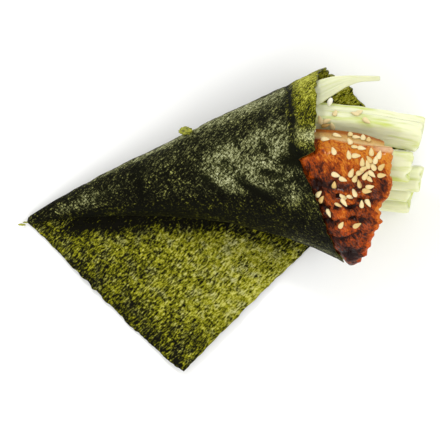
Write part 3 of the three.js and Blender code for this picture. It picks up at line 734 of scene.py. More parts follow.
def build_nori(crumple_mm, fray_mm, materials):
    """The whole sheet: a flat tail and a roll of a turn and a bit, with a smooth side outside and under."""
    rows, tail_columns, roll_columns = NORI_ROWS, NORI_TAIL_COLUMNS, NORI_ROLL_COLUMNS
    share, column = np.meshgrid(
        np.linspace(0.0, 1.0, rows + 1), np.arange(tail_columns + roll_columns + 1.0), indexing="ij"
    )
    angle = np.clip((column - tail_columns) / roll_columns, 0, 1) * LAP_END
    across = np.clip(column / tail_columns, 0, 1)
    tail = column < tail_columns
    bare = sheet_face(share, column, tail_columns, roll_columns, 0.0, 0.0)
    along = share * mouth_end(angle)

    # Crumples and creases press the sheet in where it is free to move.
    exposed = smoothstep(angle, 15, 45) * (1 - smoothstep(angle, 290, 325)) * smoothstep(along, 3, 18)
    lumps = roughness_of(bare, 7.0, 3, 1.0)
    wrinkles = roughness_of(bare, 2.4, 2, 2.0)
    # The same creases are darkened in the materials as painted shade.
    creased = sum(strength * plan_line(bare, *line) for *line, strength in NORI_CREASES)
    creased = creased * smoothstep(angle, 70, 100) * (1 - smoothstep(angle, 255, 285))
    pressed = crumple_mm * (lumps + 0.4 * wrinkles) + 0.55 * creased
    free = smoothstep(share, 0.06, 0.2) * (1 - smoothstep(across, 0.86, 1.0))
    pressed = np.where(tail, -np.abs(pressed) * 0.9 * free, pressed * exposed)

    # Both faces end unevenly, at the mouth and along the tail's free edge, and close to a point at the tip.
    frill = 1 + 1.3 * smoothstep(angle[-1], 15, 35) * (1 - smoothstep(angle[-1], 125, 150))
    torn_end = roughness_of(bare[-1], 3.0, 4, 3.0) * fray_mm * frill
    torn_edge = roughness_of(bare[:, 0], 3.4, 4, 4.0) * fray_mm * 1.5
    reach = share * (1 + torn_end[None] * share**14 / mouth_end(angle))
    faces_at = []
    for depth in (0.0, SHEET_THICK):
        points = sheet_face(reach, column, tail_columns, roll_columns, depth, pressed)
        slip = np.where(tail, torn_edge[:, None] * (1 - across) ** 14 * share**0.3, 0)
        edge_turn = math.radians(TAIL_ANGLE)
        points[..., 0] += slip * math.sin(edge_turn)
        points[..., 1] -= slip * math.cos(edge_turn)
        closing = np.sqrt(1 - (1 - np.clip(along / TIP_CLOSES_OVER, 0, 1)) ** 2)
        apex = np.array([0.0, 0.0, TIP_HEIGHT])
        points = apex + (points - apex) * np.where(tail, 1.0, closing)[..., None]
        points[..., 2] = np.maximum(points[..., 2], 0.0)
        faces_at.append(points)
    outer, inner = faces_at

    # Quads over both faces, and over the edges that join them.
    width = tail_columns + roll_columns
    count = outer[..., 0].size
    blocks = [grid_quads(rows, width, 0, flip=True), grid_quads(rows, width, count)]
    line = np.arange(width)
    first, last = line, rows * (width + 1) + line
    side = np.arange(rows) * (width + 1)
    edges = [
        np.stack([last, last + count, last + 1 + count, last + 1], axis=-1)[:, ::-1],
        np.stack([first, first + count, first + 1 + count, first + 1], axis=-1),
        np.stack([side, side + count, side + width + 1 + count, side + width + 1], axis=-1)[:, ::-1],
        np.stack([side, side + count, side + width + 1 + count, side + width + 1], axis=-1) + width,
    ]
    faces = np.concatenate(blocks + edges)
    slots = np.repeat([0, 1, 2], [len(blocks[0]), len(blocks[1]), sum(map(len, edges))])

    # Values for the materials: where the sheet is mossy and has painted light shining through it, its painted
    # sheen, its painted shade, and its painted shade in creases.
    # Past the rim fold, and on the back wall inside near the mouth, yellow-green is painted light shining
    # through the sheet; a patch low on the roll and a band over the top are mossier.
    beyond_fold = along - (RIM_FOLD - FOLD_LEAN * (angle - FOLD_ANGLE))
    strip = smoothstep(beyond_fold, 0.2, 1.6) * smoothstep(angle, 60, 100) * (1 - smoothstep(angle, 160, 176))
    moss_and_glow = 0.95 * strip + 0.4 * plan_patch(bare, 88.7, 6.7, 7, 3.5, 10)
    moss_and_glow += 0.15 * smoothstep(angle, 80, 110) * (1 - smoothstep(angle, 150, 180)) * smoothstep(along, 40, 80)
    back_wall = smoothstep(along, 94, 100) * smoothstep(angle, 15, 35) * (1 - smoothstep(angle, 120, 150))
    moss_and_glow += 1.4 * back_wall
    painted_sheen = sum(strength * plan_patch(bare, *patch) for *patch, strength in NORI_PAINTED_SHEEN)
    # Painted sheen over the top, and along the silhouettes at the back and at the front.
    over_top = smoothstep(angle, 88, 104) * (1 - smoothstep(angle, 198, 214))
    painted_sheen += 0.1 * smoothstep(along, 25, 60) * over_top
    painted_sheen += 1.35 * bump_at(angle - 105, 12.5) * smoothstep(along, 8, 40) * (1 - 0.85 * strip)
    painted_sheen += 0.55 * bump_at(angle - 256, 9) * smoothstep(along, 62, 80)
    # Painted shade on the low front side of the roll, which faces down.
    low = smoothstep(angle, 200, 228) * (1 - smoothstep(along, 72, 96))
    painted_sheen = painted_sheen - 0.7 * low
    turn = math.radians(AXIS_ANGLE)
    beside = bare[..., 0] * math.cos(turn) + bare[..., 1] * math.sin(turn)
    left = bare[..., 1] * math.cos(turn) - bare[..., 0] * math.sin(turn)
    middle, half, _ = cross_section(np.maximum(beside, 0))
    near_roll = middle - half - left
    under_edge = 1 - 0.55 * smoothstep(beside, 66, 92)
    near_edge = smoothstep(across * share * 100, 0, 18)
    # Painted shadow of the roll on the tail, and the tail painted darker at its free edge and its low corner
    # and lighter to the right.
    shade = (
        1.4 * (1 - smoothstep(near_roll + 1.4 * lumps, 0.6, 6.8)) * smoothstep(along, 14, 26) * under_edge
        + 0.3 * (1 - near_edge)
        + 0.32 * smoothstep(-bare[..., 1], 27, 42)
        - 0.58 * smoothstep(bare[..., 0] + 0.3 * bare[..., 1], 22, 68)
    )
    # On the back wall inside, the painted shade darkens it deeper in and turns to painted light shining
    # through the sheet near the mouth.
    values = {
        "moss_and_glow": np.where(tail, 0, moss_and_glow),
        "painted_sheen": np.where(tail, 0, painted_sheen),
        "shade": np.where(tail, shade, 0.35 * back_wall - 0.85 * back_wall * smoothstep(along, 100, 110)),
        "crease_shade": np.where(tail, 0, creased),
    }
    doubled = {key: np.concatenate([value.ravel(), value.ravel()]) for key, value in values.items()}
    points = np.concatenate([outer.reshape(-1, 3), inner.reshape(-1, 3)])
    piece = make_piece("nori", points, faces.tolist(), materials, slots, doubled)
    # Every column starts at the tip, so the first row is merged to one point.
    form = bmesh.new()
    form.from_mesh(piece.data)
    bmesh.ops.remove_doubles(form, verts=form.verts, dist=1e-4 * MM)
    form.to_mesh(piece.data)
    form.free()
    return piece


# ---- Eel ------------------------------------------------------------------------------------------------
EEL_THICK, EEL_DEPTH, EEL_START = 9.0, 2.0, 52.0
EEL_FRONT_ANGLE, EEL_BACK_ANGLE, EEL_BACK_TURN = 269.0, 164.0, 0.42
EEL_END_ANGLES = (150, 176, 193, 206, 217, 228, 236, 245, 256, 269)
EEL_ENDS = (124.5, 123.5, 119.8, 116, 113.3, 110.8, 109.4, 106.8, 104.8, 103.6)
EEL_BEVEL, EEL_BEVEL_LOSS, EEL_END_SLANT, EEL_ROUNDING = 21.0, 0.56, 2.5, 2.2
EEL_TOP_STEPS, EEL_SIDE_STEPS, EEL_UNDER_STEPS, EEL_FRONT_STEPS = 110, 16, 26, 9
# Furrows between the flakes of flesh: where each stretch starts and ends in plan, its width and its depth.
EEL_FURROWS = (
    (95.8, 13.4, 100.9, 11.1, 0.9, 0.8),
    (100.9, 11.1, 110.1, 10.6, 0.8, 0.7),
    (97.3, 10.8, 102.9, 8.5, 0.7, 0.8),
    (102.9, 8.5, 111.1, 7.0, 0.7, 0.9),
    (111.1, 7.0, 117.7, 7.5, 0.8, 0.7),
    (97.3, 5.2, 102.9, 4.4, 0.7, 0.8),
    (102.9, 4.4, 107.0, 4.7, 0.8, 1.0),
    (107.0, 4.7, 113.1, 5.7, 0.7, 0.8),
    (99.4, 0.6, 102.9, -0.4, 0.7, 0.8),
    (102.9, -0.4, 108.0, 1.1, 0.7, 0.8),
    (108.0, 1.1, 115.2, 0.6, 0.7, 0.7),
    (100.4, -5.0, 105.0, -6.3, 0.7, 0.8),
    (105.0, -6.3, 110.1, -3.5, 0.7, 0.8),
    (101.9, -10.1, 107.0, -11.1, 0.8, 0.7),
    (107.0, -11.1, 111.1, -9.1, 0.7, 0.6),
    (103.0, 19.0, 104.5, 14.0, 0.5, 0.4),
    (106.0, 19.5, 107.0, 15.0, 0.5, 0.4),
    (109.5, 14.0, 111.5, 11.5, 0.5, 0.4),
)
# Where the glaze is charred: x, y, length, width, direction and strength.
EEL_CHAR = (
    (97.3, 12.3, 3.5, 2.2, 20, 1.0),
    (94.0, 18.2, 2.8, 2.4, 0, 0.5),
    (106.0, 11.8, 3.0, 1.6, 0, 0.8),
    (118.2, 11.0, 2.4, 4.5, -10, 1.0),
    (103.5, 19.0, 5.0, 3.5, -30, 0.5),
    (99.0, 4.0, 4.0, 1.2, -55, 0.6),
    (108.0, 4.5, 6.0, 1.2, -25, 0.7),
    (112.0, 0.5, 5.0, 1.0, -12, 0.6),
    (101.5, -4.5, 8.0, 1.6, -62, 0.7),
    (107.5, -10.0, 5.0, 2.5, -30, 0.7),
    (114.0, 16.0, 5.0, 2.5, -20, 0.5),
)


def eel_end(angle):
    """Where the eel's cut end lies along the axis."""
    return np.interp(angle, EEL_END_ANGLES, EEL_ENDS)


def eel_points(u, v, deep, lumps, torn):
    """Points of the eel's surface, and how high its lumps stand there: u runs out of the roll, v from its
    front to its back, and deep from its top to its underside."""
    outside = np.maximum(EEL_START + (eel_end(EEL_BACK_ANGLE) - EEL_START) * u - MOUTH_AT, -12)
    bevel = EEL_BEVEL - EEL_BEVEL_LOSS * outside
    back_angle = EEL_BACK_ANGLE + EEL_BACK_TURN * outside - bevel * deep
    angle = EEL_FRONT_ANGLE + (back_angle - EEL_FRONT_ANGLE) * v
    along = EEL_START + (eel_end(angle) - EEL_END_SLANT * deep - EEL_START) * u + torn * smoothstep(u, 0.9, 1)
    edge = np.minimum.reduce([u * 9, (1 - u) * 9, v * 7, (1 - v) * 7, np.ones_like(u)])
    edge = np.clip(edge, 0, 1)
    rounded = (1 - np.sqrt(1 - (1 - edge) ** 2)) * EEL_ROUNDING
    furrow = 0.35 * np.sin(along / 2.4 + angle / 17) + 0.25 * np.sin(along / 1.3 - angle / 9)
    shown = smoothstep(along, 88, 96) * edge
    top = rounded + (furrow + lumps) * shown
    inward = top + (EEL_THICK - rounded - top) * deep
    past_rim = along - mouth_end(angle)
    under_roll = dent_at(along, angle) * (1 - smoothstep(past_rim, 0, 4))
    spread = 1.9 * smoothstep(past_rim, -0.2, 2.4) * smoothstep(angle, 225, 255) * (1 - deep)
    return inside_cone(along, angle, EEL_DEPTH + inward + under_roll - spread), (furrow + lumps) * shown


def build_eel(material):
    """The grilled fillet, with its glazed top and its cut flesh showing along the back edge and the end."""
    # Round each ring the points run over the top, down the back edge, underneath and up the front edge.
    u_steps = np.concatenate([np.linspace(0, 0.55, 10, endpoint=False), np.linspace(0.55, 1, 116)])
    over = [
        np.linspace(0, 1, EEL_TOP_STEPS),
        np.ones(EEL_SIDE_STEPS),
        np.linspace(1, 0, EEL_UNDER_STEPS),
        np.zeros(EEL_FRONT_STEPS),
    ]
    down = [
        np.zeros(EEL_TOP_STEPS),
        np.linspace(0, 1, EEL_SIDE_STEPS + 2)[1:-1],
        np.ones(EEL_UNDER_STEPS),
        np.linspace(1, 0, EEL_FRONT_STEPS + 2)[1:-1],
    ]
    u, v = np.meshgrid(u_steps, np.concatenate(over), indexing="ij")
    deep = np.broadcast_to(np.concatenate(down), u.shape)
    bare, _ = eel_points(u, v, deep, 0.0, 0.0)
    lumps = 0.5 * roughness_of(bare, 3.2, 3, 5.0) + 0.3 * roughness_of(bare, 1.3, 2, 6.0)
    wander = bare + 0.6 * roughness_of(bare, 2.5, 2, 9.0)[..., None]
    furrows = sum(depth * plan_line(wander, *line, width) for *line, width, depth in EEL_FURROWS)
    furrows = furrows * (deep < 0.01)
    torn = 1.5 * roughness_of(bare[-1], 5.0, 3, 7.0) + 0.9 * roughness_of(bare[-1], 1.8, 2, 8.0) - 0.3
    rings, pits = eel_points(u, v, deep, lumps + furrows, torn[None])
    points, faces = ring_solid(rings, 5, 0.6)
    extra = len(points) - rings[..., 0].size
    # Where cut flesh shows instead of glaze, and how deep in the fillet it lies.
    wrapped = 0.3 * (1 - smoothstep(u, 0.68, 0.92))
    at_back = smoothstep(v, 0.5, 0.99)
    cut = smoothstep(deep + 0.06 * lumps, 0.03 + wrapped * at_back, 0.09 + wrapped * at_back)
    cut = np.maximum(cut, smoothstep(v + 0.01 * lumps, 0.974, 0.984) * smoothstep(u, 0.88, 0.97))
    flesh = np.concatenate([np.clip(cut, 0, 1).ravel(), np.full(extra, 1.0)])
    into = 0.08 + np.maximum(deep - wrapped * at_back, 0) / (1 - wrapped)
    into = into - 0.08 * (1 - smoothstep(v, 0.965, 0.99))
    layer = np.concatenate([into.ravel(), np.full(extra, 0.45)])
    # Where the glaze is thin and pale, charred, darkened in its pits as painted shade, and thick and sticky.
    by_back = 0.75 * smoothstep(v, 0.8, 0.93) * smoothstep(bare[..., 0], 95, 99)
    paler = np.maximum(smoothstep(u, 0.955, 0.99), by_back) - 0.4 * (1 - smoothstep(v, 0.0, 0.7))
    rim = np.concatenate([paler.ravel(), np.zeros(extra)])
    char = sum(strength * plan_patch(points, *patch) for *patch, strength in EEL_CHAR)
    # Painted shade in the furrows and hollows, darker where the top is pressed in.
    pit_shade = np.concatenate([(0.5 + 0.5 * pits).ravel(), np.full(extra, 0.5)])
    pooled = 0.8 * plan_patch(bare, 94, 17, 3.5, 5, 0)
    sticky = np.maximum(1 - smoothstep(v + 0.08 * lumps, 0.35, 0.85), pooled)
    sauce = np.concatenate([sticky.ravel(), np.zeros(extra)])
    values = {"flesh": flesh, "layer": layer, "rim": rim, "char": char, "pit_shade": pit_shade, "sauce": sauce}
    return make_piece("eel", points, facing_out(points, faces), [material], values=values)


# ---- Cucumber -------------------------------------------------------------------------------------------
# Each stick: its start and end in mm, its width and height, how far it is turned about its own length in
# degrees, and how far it bends up and sways to the left.
STICKS = (
    ((90, 34.3, 25.9), (131, 28.8, 29), 9.5, 9.2, 40, 0.3, 0.9),
    ((84, 22.2, 28), (127.5, 18.2, 28.2), 10.4, 7.0, 6, 0.3, 0.0),
    ((84, 18.2, 20.4), (131, 14.2, 20.5), 8.6, 6.9, 5, 0.1, 0.0),
    ((84, 14.8, 12.9), (127.7, 10.8, 12.9), 8.4, 6.9, 4, 0.0, 0.0),
    ((84, 11.2, 5.6), (128, 7.2, 5.4), 8.8, 6.6, 2, 0.0, 0.0),
)


def stick_frame(stick):
    """Where a stick starts, its length, and its directions along, sideways and up."""
    start, end = Vector(stick[0]), Vector(stick[1])
    axis = (end - start).normalized()
    side = Vector((0, 0, 1)).cross(axis).normalized()
    side.rotate(Quaternion(axis, math.radians(stick[4])))
    return start, (end - start).length, axis, side, axis.cross(side)


def build_stick(number, stick, material):
    """A square-cut stick with softened edges, cut faces that are slightly uneven, and cut ends that stand out
    a little.
    """
    start, length, axis, side, up = stick_frame(stick)
    _, _, width, height, _, bend, sway = stick
    sides, rows = 48, 64
    turn = 2 * np.pi * np.arange(sides) / sides
    reach = (np.abs(np.cos(turn)) ** 7 + np.abs(np.sin(turn)) ** 7) ** (-1 / 7)
    # Round the stick, a and b run from -1 to 1 over its width and height, and t runs along it.
    a, b = reach * np.cos(turn), reach * np.sin(turn)
    t = np.linspace(0, 1, rows)[:, None]
    near_end = np.minimum(t, 1 - t) * length
    soft = 1 - 0.07 * (1 - np.clip(near_end / 0.8, 0, 1)) ** 2
    across = a * width / 2 * soft
    above = b * height / 2 * soft + bend * np.sin(np.pi * t)
    torn = roughness_of(np.stack([0 * a, a * width / 2, b * height / 2], axis=-1), 3.4, 3, 40.0 + number)
    ragged = 1.0 if number == 1 else 1.9
    forward = length * t + (0.5 * a - 0.4 + ragged * np.minimum(torn, 0.3)) * t**9
    rings = (
        np.array(start)
        + forward[..., None] * np.array(axis)
        + across[..., None] * np.array(side)
        + above[..., None] * np.array(up)
    )
    rings[..., 1] += sway * np.sin(np.pi * t)
    out = np.stack([a, b], axis=-1)[None, :, :] * np.ones((rows, 1, 1))
    lumps = 0.16 * roughness_of(rings, 5.0, 2, 10.0 + number) - 0.06
    push = out[..., :1] * np.array(side) + out[..., 1:] * np.array(up)
    rings = rings + push * lumps[..., None]
    points, faces = ring_solid(rings, 4, -0.45)
    extra = len(points) - rings[..., 0].size
    round_it = 12 * turn[None] / np.pi + 7 * number
    lengthwise = np.stack(np.broadcast_arrays(forward, round_it), axis=-1)
    uv = np.concatenate([lengthwise.reshape(-1, 2), points[-extra:, 1:]])
    under = smoothstep(-a - 0.3 * b, 0.2, 1.1) * (1.0 if number == 1 else 0.5)
    drawn_out = np.stack([0.1 * forward, a * 3 + 0 * t, b * 3 + 0 * t], axis=-1)
    facets = 0.5 * roughness_of(drawn_out, 1.6, 3, 60.0 + number)
    # Sticks 3 to 5 lie under the others and are painted paler, and the first stick's underside near the eel
    # is painted paler: painted light where they lie in shade.
    green = under + facets + (0.1 if number < 3 else -0.1)
    if number == 1:
        green = green - 0.7 * under * (1 - smoothstep(forward, 10, 30))
    values = {"side": np.concatenate([green.ravel(), np.full(extra, 0.35)])}
    name = f"cucumber_{number}"
    return make_piece(name, points, facing_out(points, faces), [material], values=values, corner_uv=uv)


# The middle line of the shaving: x, y, z and half its width.
SHRED_LINE = (
    (91, 40.6, 28.4, 4.2),
    (97, 42.8, 28.8, 4.1),
    (101.5, 44.9, 28.8, 3.2),
    (106, 46.5, 29, 1.9),
    (110.5, 47.3, 29.3, 1.05),
    (117.2, 47.4, 29.8, 0.8),
)
SHRED_THICK, SHRED_HEIGHT = 2.2, 28.8


def build_shred(material):
    """A pale shaving of cucumber, wide where it leaves the roll and drawn out to a tip."""
    knots = np.array(SHRED_LINE)
    x = np.linspace(knots[0, 0], knots[-1, 0], 60)
    y, z, half = (np.interp(x, knots[:, 0], knots[:, k]) for k in (1, 2, 3))
    kernel = np.hanning(13) / np.hanning(13).sum()
    y, z, half = (np.convolve(np.pad(line, 6, "edge"), kernel, "valid") for line in (y, z, half))
    half = half * (1 - 0.55 * smoothstep(x, 116.5, 118.2))
    turn = 2 * np.pi * np.arange(28) / 28
    reach = (np.abs(np.cos(turn)) ** 4 + np.abs(np.sin(turn)) ** 4) ** (-1 / 4)
    a, b = reach * np.cos(turn), reach * np.sin(turn)
    groove = 0.12 * np.cos(5 * np.pi * a)[None, :] * smoothstep(half, 1.5, 3)[:, None]
    thick = SHRED_THICK / 2 * (0.62 + 0.38 * smoothstep(half, 0.9, 2.4))[:, None]
    rings = np.stack(
        np.broadcast_arrays(x[:, None], y[:, None] + a * half[:, None], z[:, None] + b * (thick - groove)),
        axis=-1,
    )
    points, faces = ring_solid(rings, 2, 0.2)
    extra = len(points) - rings[..., 0].size
    lengthwise = np.stack(np.broadcast_arrays(x[:, None], 6 * turn[None]), axis=-1)
    uv = np.concatenate([lengthwise.reshape(-1, 2), points[-extra:, :2]])
    name, values = "cucumber_shaving", {"side": np.zeros(len(points))}
    return make_piece(name, points, facing_out(points, faces), [material], values=values, corner_uv=uv)


# ---- Rice -----------------------------------------------------------------------------------------------
RICE_DEPTH = 2 * SHEET_THICK + LAYER_GAP + 1.2
RICE_FRONT = 98.0
# Grains start this deep in the rice and go this much deeper, and those this near its rim lie along it.
GRAINS_START, GRAINS_REACH, GRAINS_ALONG_RIM = 1.2, 16.7, 4.0


def inside_filling(point, margin):
    """Whether a point in mm is inside a stick or the shaving, or nearer than margin to one."""
    for stick in STICKS:
        start, _, _, side, up = stick_frame(stick)
        away = Vector(point) - start
        if abs(away.dot(side)) < stick[2] / 2 + margin and abs(away.dot(up)) < stick[3] / 2 + margin:
            return True
    x, y, z = point
    knots = np.array(SHRED_LINE)
    centre, half = np.interp(x, knots[:, 0], knots[:, 1]), np.interp(x, knots[:, 0], knots[:, 3])
    return abs(y - centre) < half + margin and abs(z - SHRED_HEIGHT) < SHRED_THICK / 2 + margin


def build_rice_core(material):
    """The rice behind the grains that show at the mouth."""
    angle = np.linspace(0, 360, 72, endpoint=False)
    along = np.array([16, 28, 40, 52, 64, 73, 82, 90, 95, RICE_FRONT])
    along = np.minimum(along[:, None], mouth_end(angle)[None] - 2 + 0.02 * along[:, None])
    rings = inside_cone(along, angle[None], RICE_DEPTH + np.maximum(dent_at(along, angle[None]), 0))
    bare = rings.copy()
    rings[..., 0] += 0.5 * roughness_of(bare, 3.0, 2, 20.0)
    points, faces = ring_solid(rings, 8, 0.5)
    return make_piece("rice_core", points, facing_out(points, faces), [material])


def build_rice_grains(count, seed, sizes, material):
    """Grains standing out of the rice at the mouth, in the gaps between the eel and the cucumber."""
    rng = np.random.default_rng(seed)
    places, turns, stretches, tints = [], [], [], []
    for _ in range(count * 30):
        if len(places) >= count:
            break
        angle = rng.uniform(0, 360)
        depth = RICE_DEPTH + GRAINS_START + GRAINS_REACH * (1 - math.sqrt(rng.uniform(0, 1)))
        along = min(RICE_FRONT, mouth_end(angle) - 1.5 + 0.5 * (depth - RICE_DEPTH)) + rng.uniform(-0.8, 1.2)
        in_eel = 150 < angle < 272 and depth < EEL_DEPTH + EEL_THICK + 1.6
        depth += max(float(dent_at(np.array(along), np.array(angle))), 0) + 0.6
        place = inside_cone(np.array(along), np.array(angle), depth)
        if in_eel or inside_filling(place, 1.3):
            continue
        direction = Vector((rng.uniform(-0.2, 0.75), rng.uniform(-1, 1), rng.uniform(-1, 1)))
        if depth < RICE_DEPTH + GRAINS_ALONG_RIM:
            beside = inside_cone(np.array(along), np.array(angle + 5), depth) - place
            direction = Vector(beside).normalized() + Vector((rng.uniform(-0.3, 0.3), 0, 0))
        places.append(place)
        turns.append(Vector((1, 0, 0)).rotation_difference(direction))
        stretches.append((rng.uniform(0.85, 1.1), rng.uniform(0.9, 1.08), rng.uniform(0.9, 1.08)))
        tints.append(rng.uniform(0, 1))
    # One broken grain clings between the shaving and the top stick.
    places.append((100.6, 39.7, 29.4))
    turns.append(Vector((1, 0, 0)).rotation_difference(Vector((0.35, 0.9, 0.2))))
    stretches.append((0.5, 0.7, 0.6))
    tints.append(0.5)
    return strewn_grains("rice_grains", places, turns, stretches, tints, sizes, material)


# ---- Sesame ---------------------------------------------------------------------------------------------
# Where each seed lies in plan, in mm, and the direction its point faces, in degrees.
SEEDS = (
    (97.4, 33.7, 110), (99.4, 33.4, 20), (99.2, 32.0, 15), (101.3, 31.7, 100), (102.3, 35.8, 75),
    (108.9, 35.6, 160), (110.3, 36.1, 45), (112.6, 33.3, -35), (102.9, 28.3, -25), (98.9, 27.1, -10),
    (107.2, 28.8, 95), (109.3, 27.7, -15), (111.4, 27.7, 90), (113.2, 27.0, 85), (107.0, 26.3, 115),
    (108.8, 24.4, -25), (110.9, 24.1, -20), (101.7, 23.2, 110), (106.7, 22.0, 100), (109.1, 21.7, 0),
    (114.1, 22.9, 95), (116.7, 22.0, 75), (111.1, 19.6, 90), (113.3, 20.5, 125), (112.8, 18.9, 110),
    (115.5, 20.4, 75), (114.6, 18.2, 115), (117.4, 18.1, 45), (111.7, 17.6, 25), (107.5, 16.1, 70),
    (110.3, 16.2, 20), (112.1, 15.2, 60), (114.3, 15.8, -40), (117.4, 15.3, 5), (102.5, 15.5, -15),
    (104.8, 14.1, -20), (108.6, 14.3, 60), (113.5, 14.0, -45), (109.9, 12.5, 105), (113.6, 11.7, 20),
    (112.6, 10.2, -5), (102.0, 12.3, 75), (108.4, 9.5, 110), (97.0, 9.2, 40), (97.9, 7.5, 50),
    (105.0, 8.2, -45), (107.1, 8.4, -50), (103.4, 5.8, -45), (105.2, 6.5, -50), (111.0, 6.0, 85),
    (113.1, 6.3, -60), (100.3, 3.0, -65), (104.3, -0.9, 55), (109.4, -1.0, 25),
)


def surface_of(pieces):
    """A search tree over the surfaces of some pieces."""
    corners, polygons = [], []
    for piece in pieces:
        start = len(corners)
        corners += [vertex.co.copy() for vertex in piece.data.vertices]
        polygons += [[start + v for v in polygon.vertices] for polygon in piece.data.polygons]
    return BVHTree.FromPolygons(corners, polygons)


def build_seeds(surface, seed, sizes, material):
    """Sesame seeds lying on the eel and the top cucumber stick, each a little different."""
    rng = np.random.default_rng(seed)
    places, turns, stretches, tints = [], [], [], []
    for x, y, heading in SEEDS:
        origin = (Vector((x, y, 100)) - Vector((*TIP_TO_ORIGIN, 0))) * MM
        hit, normal, _, _ = surface.ray_cast(origin, Vector((0, 0, -1)))
        if hit is None:
            continue
        tilt = Quaternion((0, 1, 0), rng.uniform(-0.16, 0.16))
        upright = Vector((0, 0, 1)).rotation_difference(normal)
        places.append(hit / MM + Vector((*TIP_TO_ORIGIN, 0)) + normal * 0.3)
        turns.append(upright @ Quaternion((0, 0, 1), math.radians(heading)) @ tilt)
        stretches.append((rng.uniform(0.94, 1.1), rng.uniform(0.9, 1.1), rng.uniform(0.9, 1.1)))
        tints.append(0.85 * rng.uniform(0, 1) ** 2)
    return strewn_grains("sesame_seeds", places, turns, stretches, tints, sizes, material)


# ---- Crumbs and stage -----------------------------------------------------------------------------------
# Each crumb: its place and size in mm, its stretch along x, y and z, and the seed of its roughness.
CRUMBS = (
    ((53.0, 30.2, 16.0), 2.8, (1.5, 0.85, 0.8), 30.0),
    ((51.9, 30.5, 15.8), 1.3, (0.9, 1.2, 1.0), 31.0),
    ((-1.6, -0.9, 0.7), 1.4, (1.7, 0.5, 0.35), 32.0),
    ((-0.4, -0.1, 0.7), 1.1, (1.6, 0.5, 0.4), 33.0),
)
# Lamps: name, place and disc width in metres, and power as a share of the key lamp's.
LAMPS = (
    ("Key", (-0.45, 1.0, 1.1), 0.28, 1.0),
    ("Right", (1.25, 0.1, 1.0), 1.1, 0.6),
    ("Front", (-0.3, -1.2, 1.0), 1.1, 1.1),
)
# The floor's half width and how far it lies under the roll, in metres, and a camera that looks straight down.
FLOOR_HALF, FLOOR_DROP = 4.0, 0.0004
CAMERA_PLACE, CAMERA_LENS_MM, CAMERA_SENSOR_MM = (-0.00176, -0.00047, 3.0), 736.4, 36


def build_nori_crumbs(material):
    """A torn flake caught on the back of the roll and a fibre at its tip, each a roughened ball."""
    around = np.linspace(0, 2 * np.pi, 28, endpoint=False)
    turn, rise = np.meshgrid(around, np.linspace(0.12, np.pi - 0.12, 18))
    ball = np.stack([np.cos(rise), np.sin(rise) * np.cos(turn), np.sin(rise) * np.sin(turn)], axis=-1)
    points, faces = [], []
    for place, size, stretch, seed in CRUMBS:
        rough = 1 + 0.5 * roughness_of(ball * size, size * 0.4, 3, seed)
        rings = np.array(place) + ball * rough[..., None] * np.array(stretch) * size / 2
        block, block_faces = ring_solid(rings, 1, 0.0)
        total = sum(map(len, points))
        faces += [tuple(total + v for v in face) for face in facing_out(block, block_faces)]
        points.append(block)
    return make_piece("nori_crumbs", np.concatenate(points), faces, [material])


def build_stage(context, floor_colour, key_power, sky_strength):
    """A pale floor, even room light, a key lamp with two wide soft lamps, and the camera over the roll."""
    material, tree, place = new_surface("matt pale floor")
    clouds = {"Vector": place, "Scale": 1 / (40.0 * MM), "Detail": 2, "Roughness": 0.55}
    stops = [(0.0, tint(floor_colour, 0.985)), (1.0, tuple(floor_colour))]
    colour = add_node(tree, RAMP, {"Fac": add_node(tree, NOISE, clouds)}, stops=stops)
    finish_surface(tree, {"Base Color": colour, "Roughness": 0.9})
    mesh = bpy.data.meshes.new("floor")
    signs = ((-1, -1), (1, -1), (1, 1), (-1, 1))
    mesh.from_pydata([(FLOOR_HALF * x, FLOOR_HALF * y, -FLOOR_DROP) for x, y in signs], [], [(0, 1, 2, 3)])
    mesh.materials.append(material)
    floor = bpy.data.objects.new("floor", mesh)
    context.scene.collection.objects.link(floor)

    world = bpy.data.worlds.new("Room")
    world.use_nodes = True
    background = world.node_tree.nodes["Background"]
    background.inputs["Color"].default_value = (1, 1, 1, 1)
    background.inputs["Strength"].default_value = sky_strength
    context.scene.world = world

    for name, place, size, share in LAMPS:
        lamp = bpy.data.lights.new(name, "AREA")
        lamp.shape = "DISK"
        lamp.size = size
        lamp.energy = share * key_power
        placed = bpy.data.objects.new(name, lamp)
        placed.location = place
        placed.rotation_mode = "QUATERNION"
        placed.rotation_quaternion = (-Vector(place)).to_track_quat("-Z", "Y")
        context.scene.collection.objects.link(placed)

    camera = bpy.data.cameras.new("Camera")
    camera.sensor_width = CAMERA_SENSOR_MM
    camera.lens = CAMERA_LENS_MM
    camera.clip_start, camera.clip_end = 0.1, 20
    seen = bpy.data.objects.new("Camera", camera)
    seen.location = CAMERA_PLACE
    context.scene.collection.objects.link(seen)
    context.scene.camera = seen
    context.scene.view_settings.view_transform = "Standard"


# ---- Settings -------------------------------------------------------------------------------------------
def length_setting(name, description, default_mm, smallest_mm, largest_mm):
    """A length in metres whose default is given in mm."""
    return FloatProperty(
        name=name,
        description=description,
        default=default_mm * MM,
        min=smallest_mm * MM,
        max=largest_mm * MM,
        subtype="DISTANCE",
        unit="LENGTH",
        precision=5,
    )


def colour_setting(name, description, default):
    """A colour whose default is given as sRGB hex."""
    return FloatVectorProperty(
        name=name, description=description, default=linear(default), size=3, min=0, max=1, subtype="COLOR"
    )


class NoriSettings(bpy.types.PropertyGroup):
    crumple: length_setting("Crumple", "How far the sheet's small wrinkles rise", 0.35, 0, 1)
    fray: length_setting("Torn edge", "How uneven the sheet's edges are", 0.55, 0, 1.5)
    dark: colour_setting("Smooth side", "The dark, smooth side of the sheet", "#1a1a0c")
    green: colour_setting("Rough side", "The mossy side of the sheet", "#7d7d14")


class EelSettings(bpy.types.PropertyGroup):
    glaze: colour_setting("Glaze", "Browned fat and sweet soy sauce", "#8e3c08")
    meat: colour_setting("Flesh", "Cut cooked flesh under the glaze", "#c39c5c")


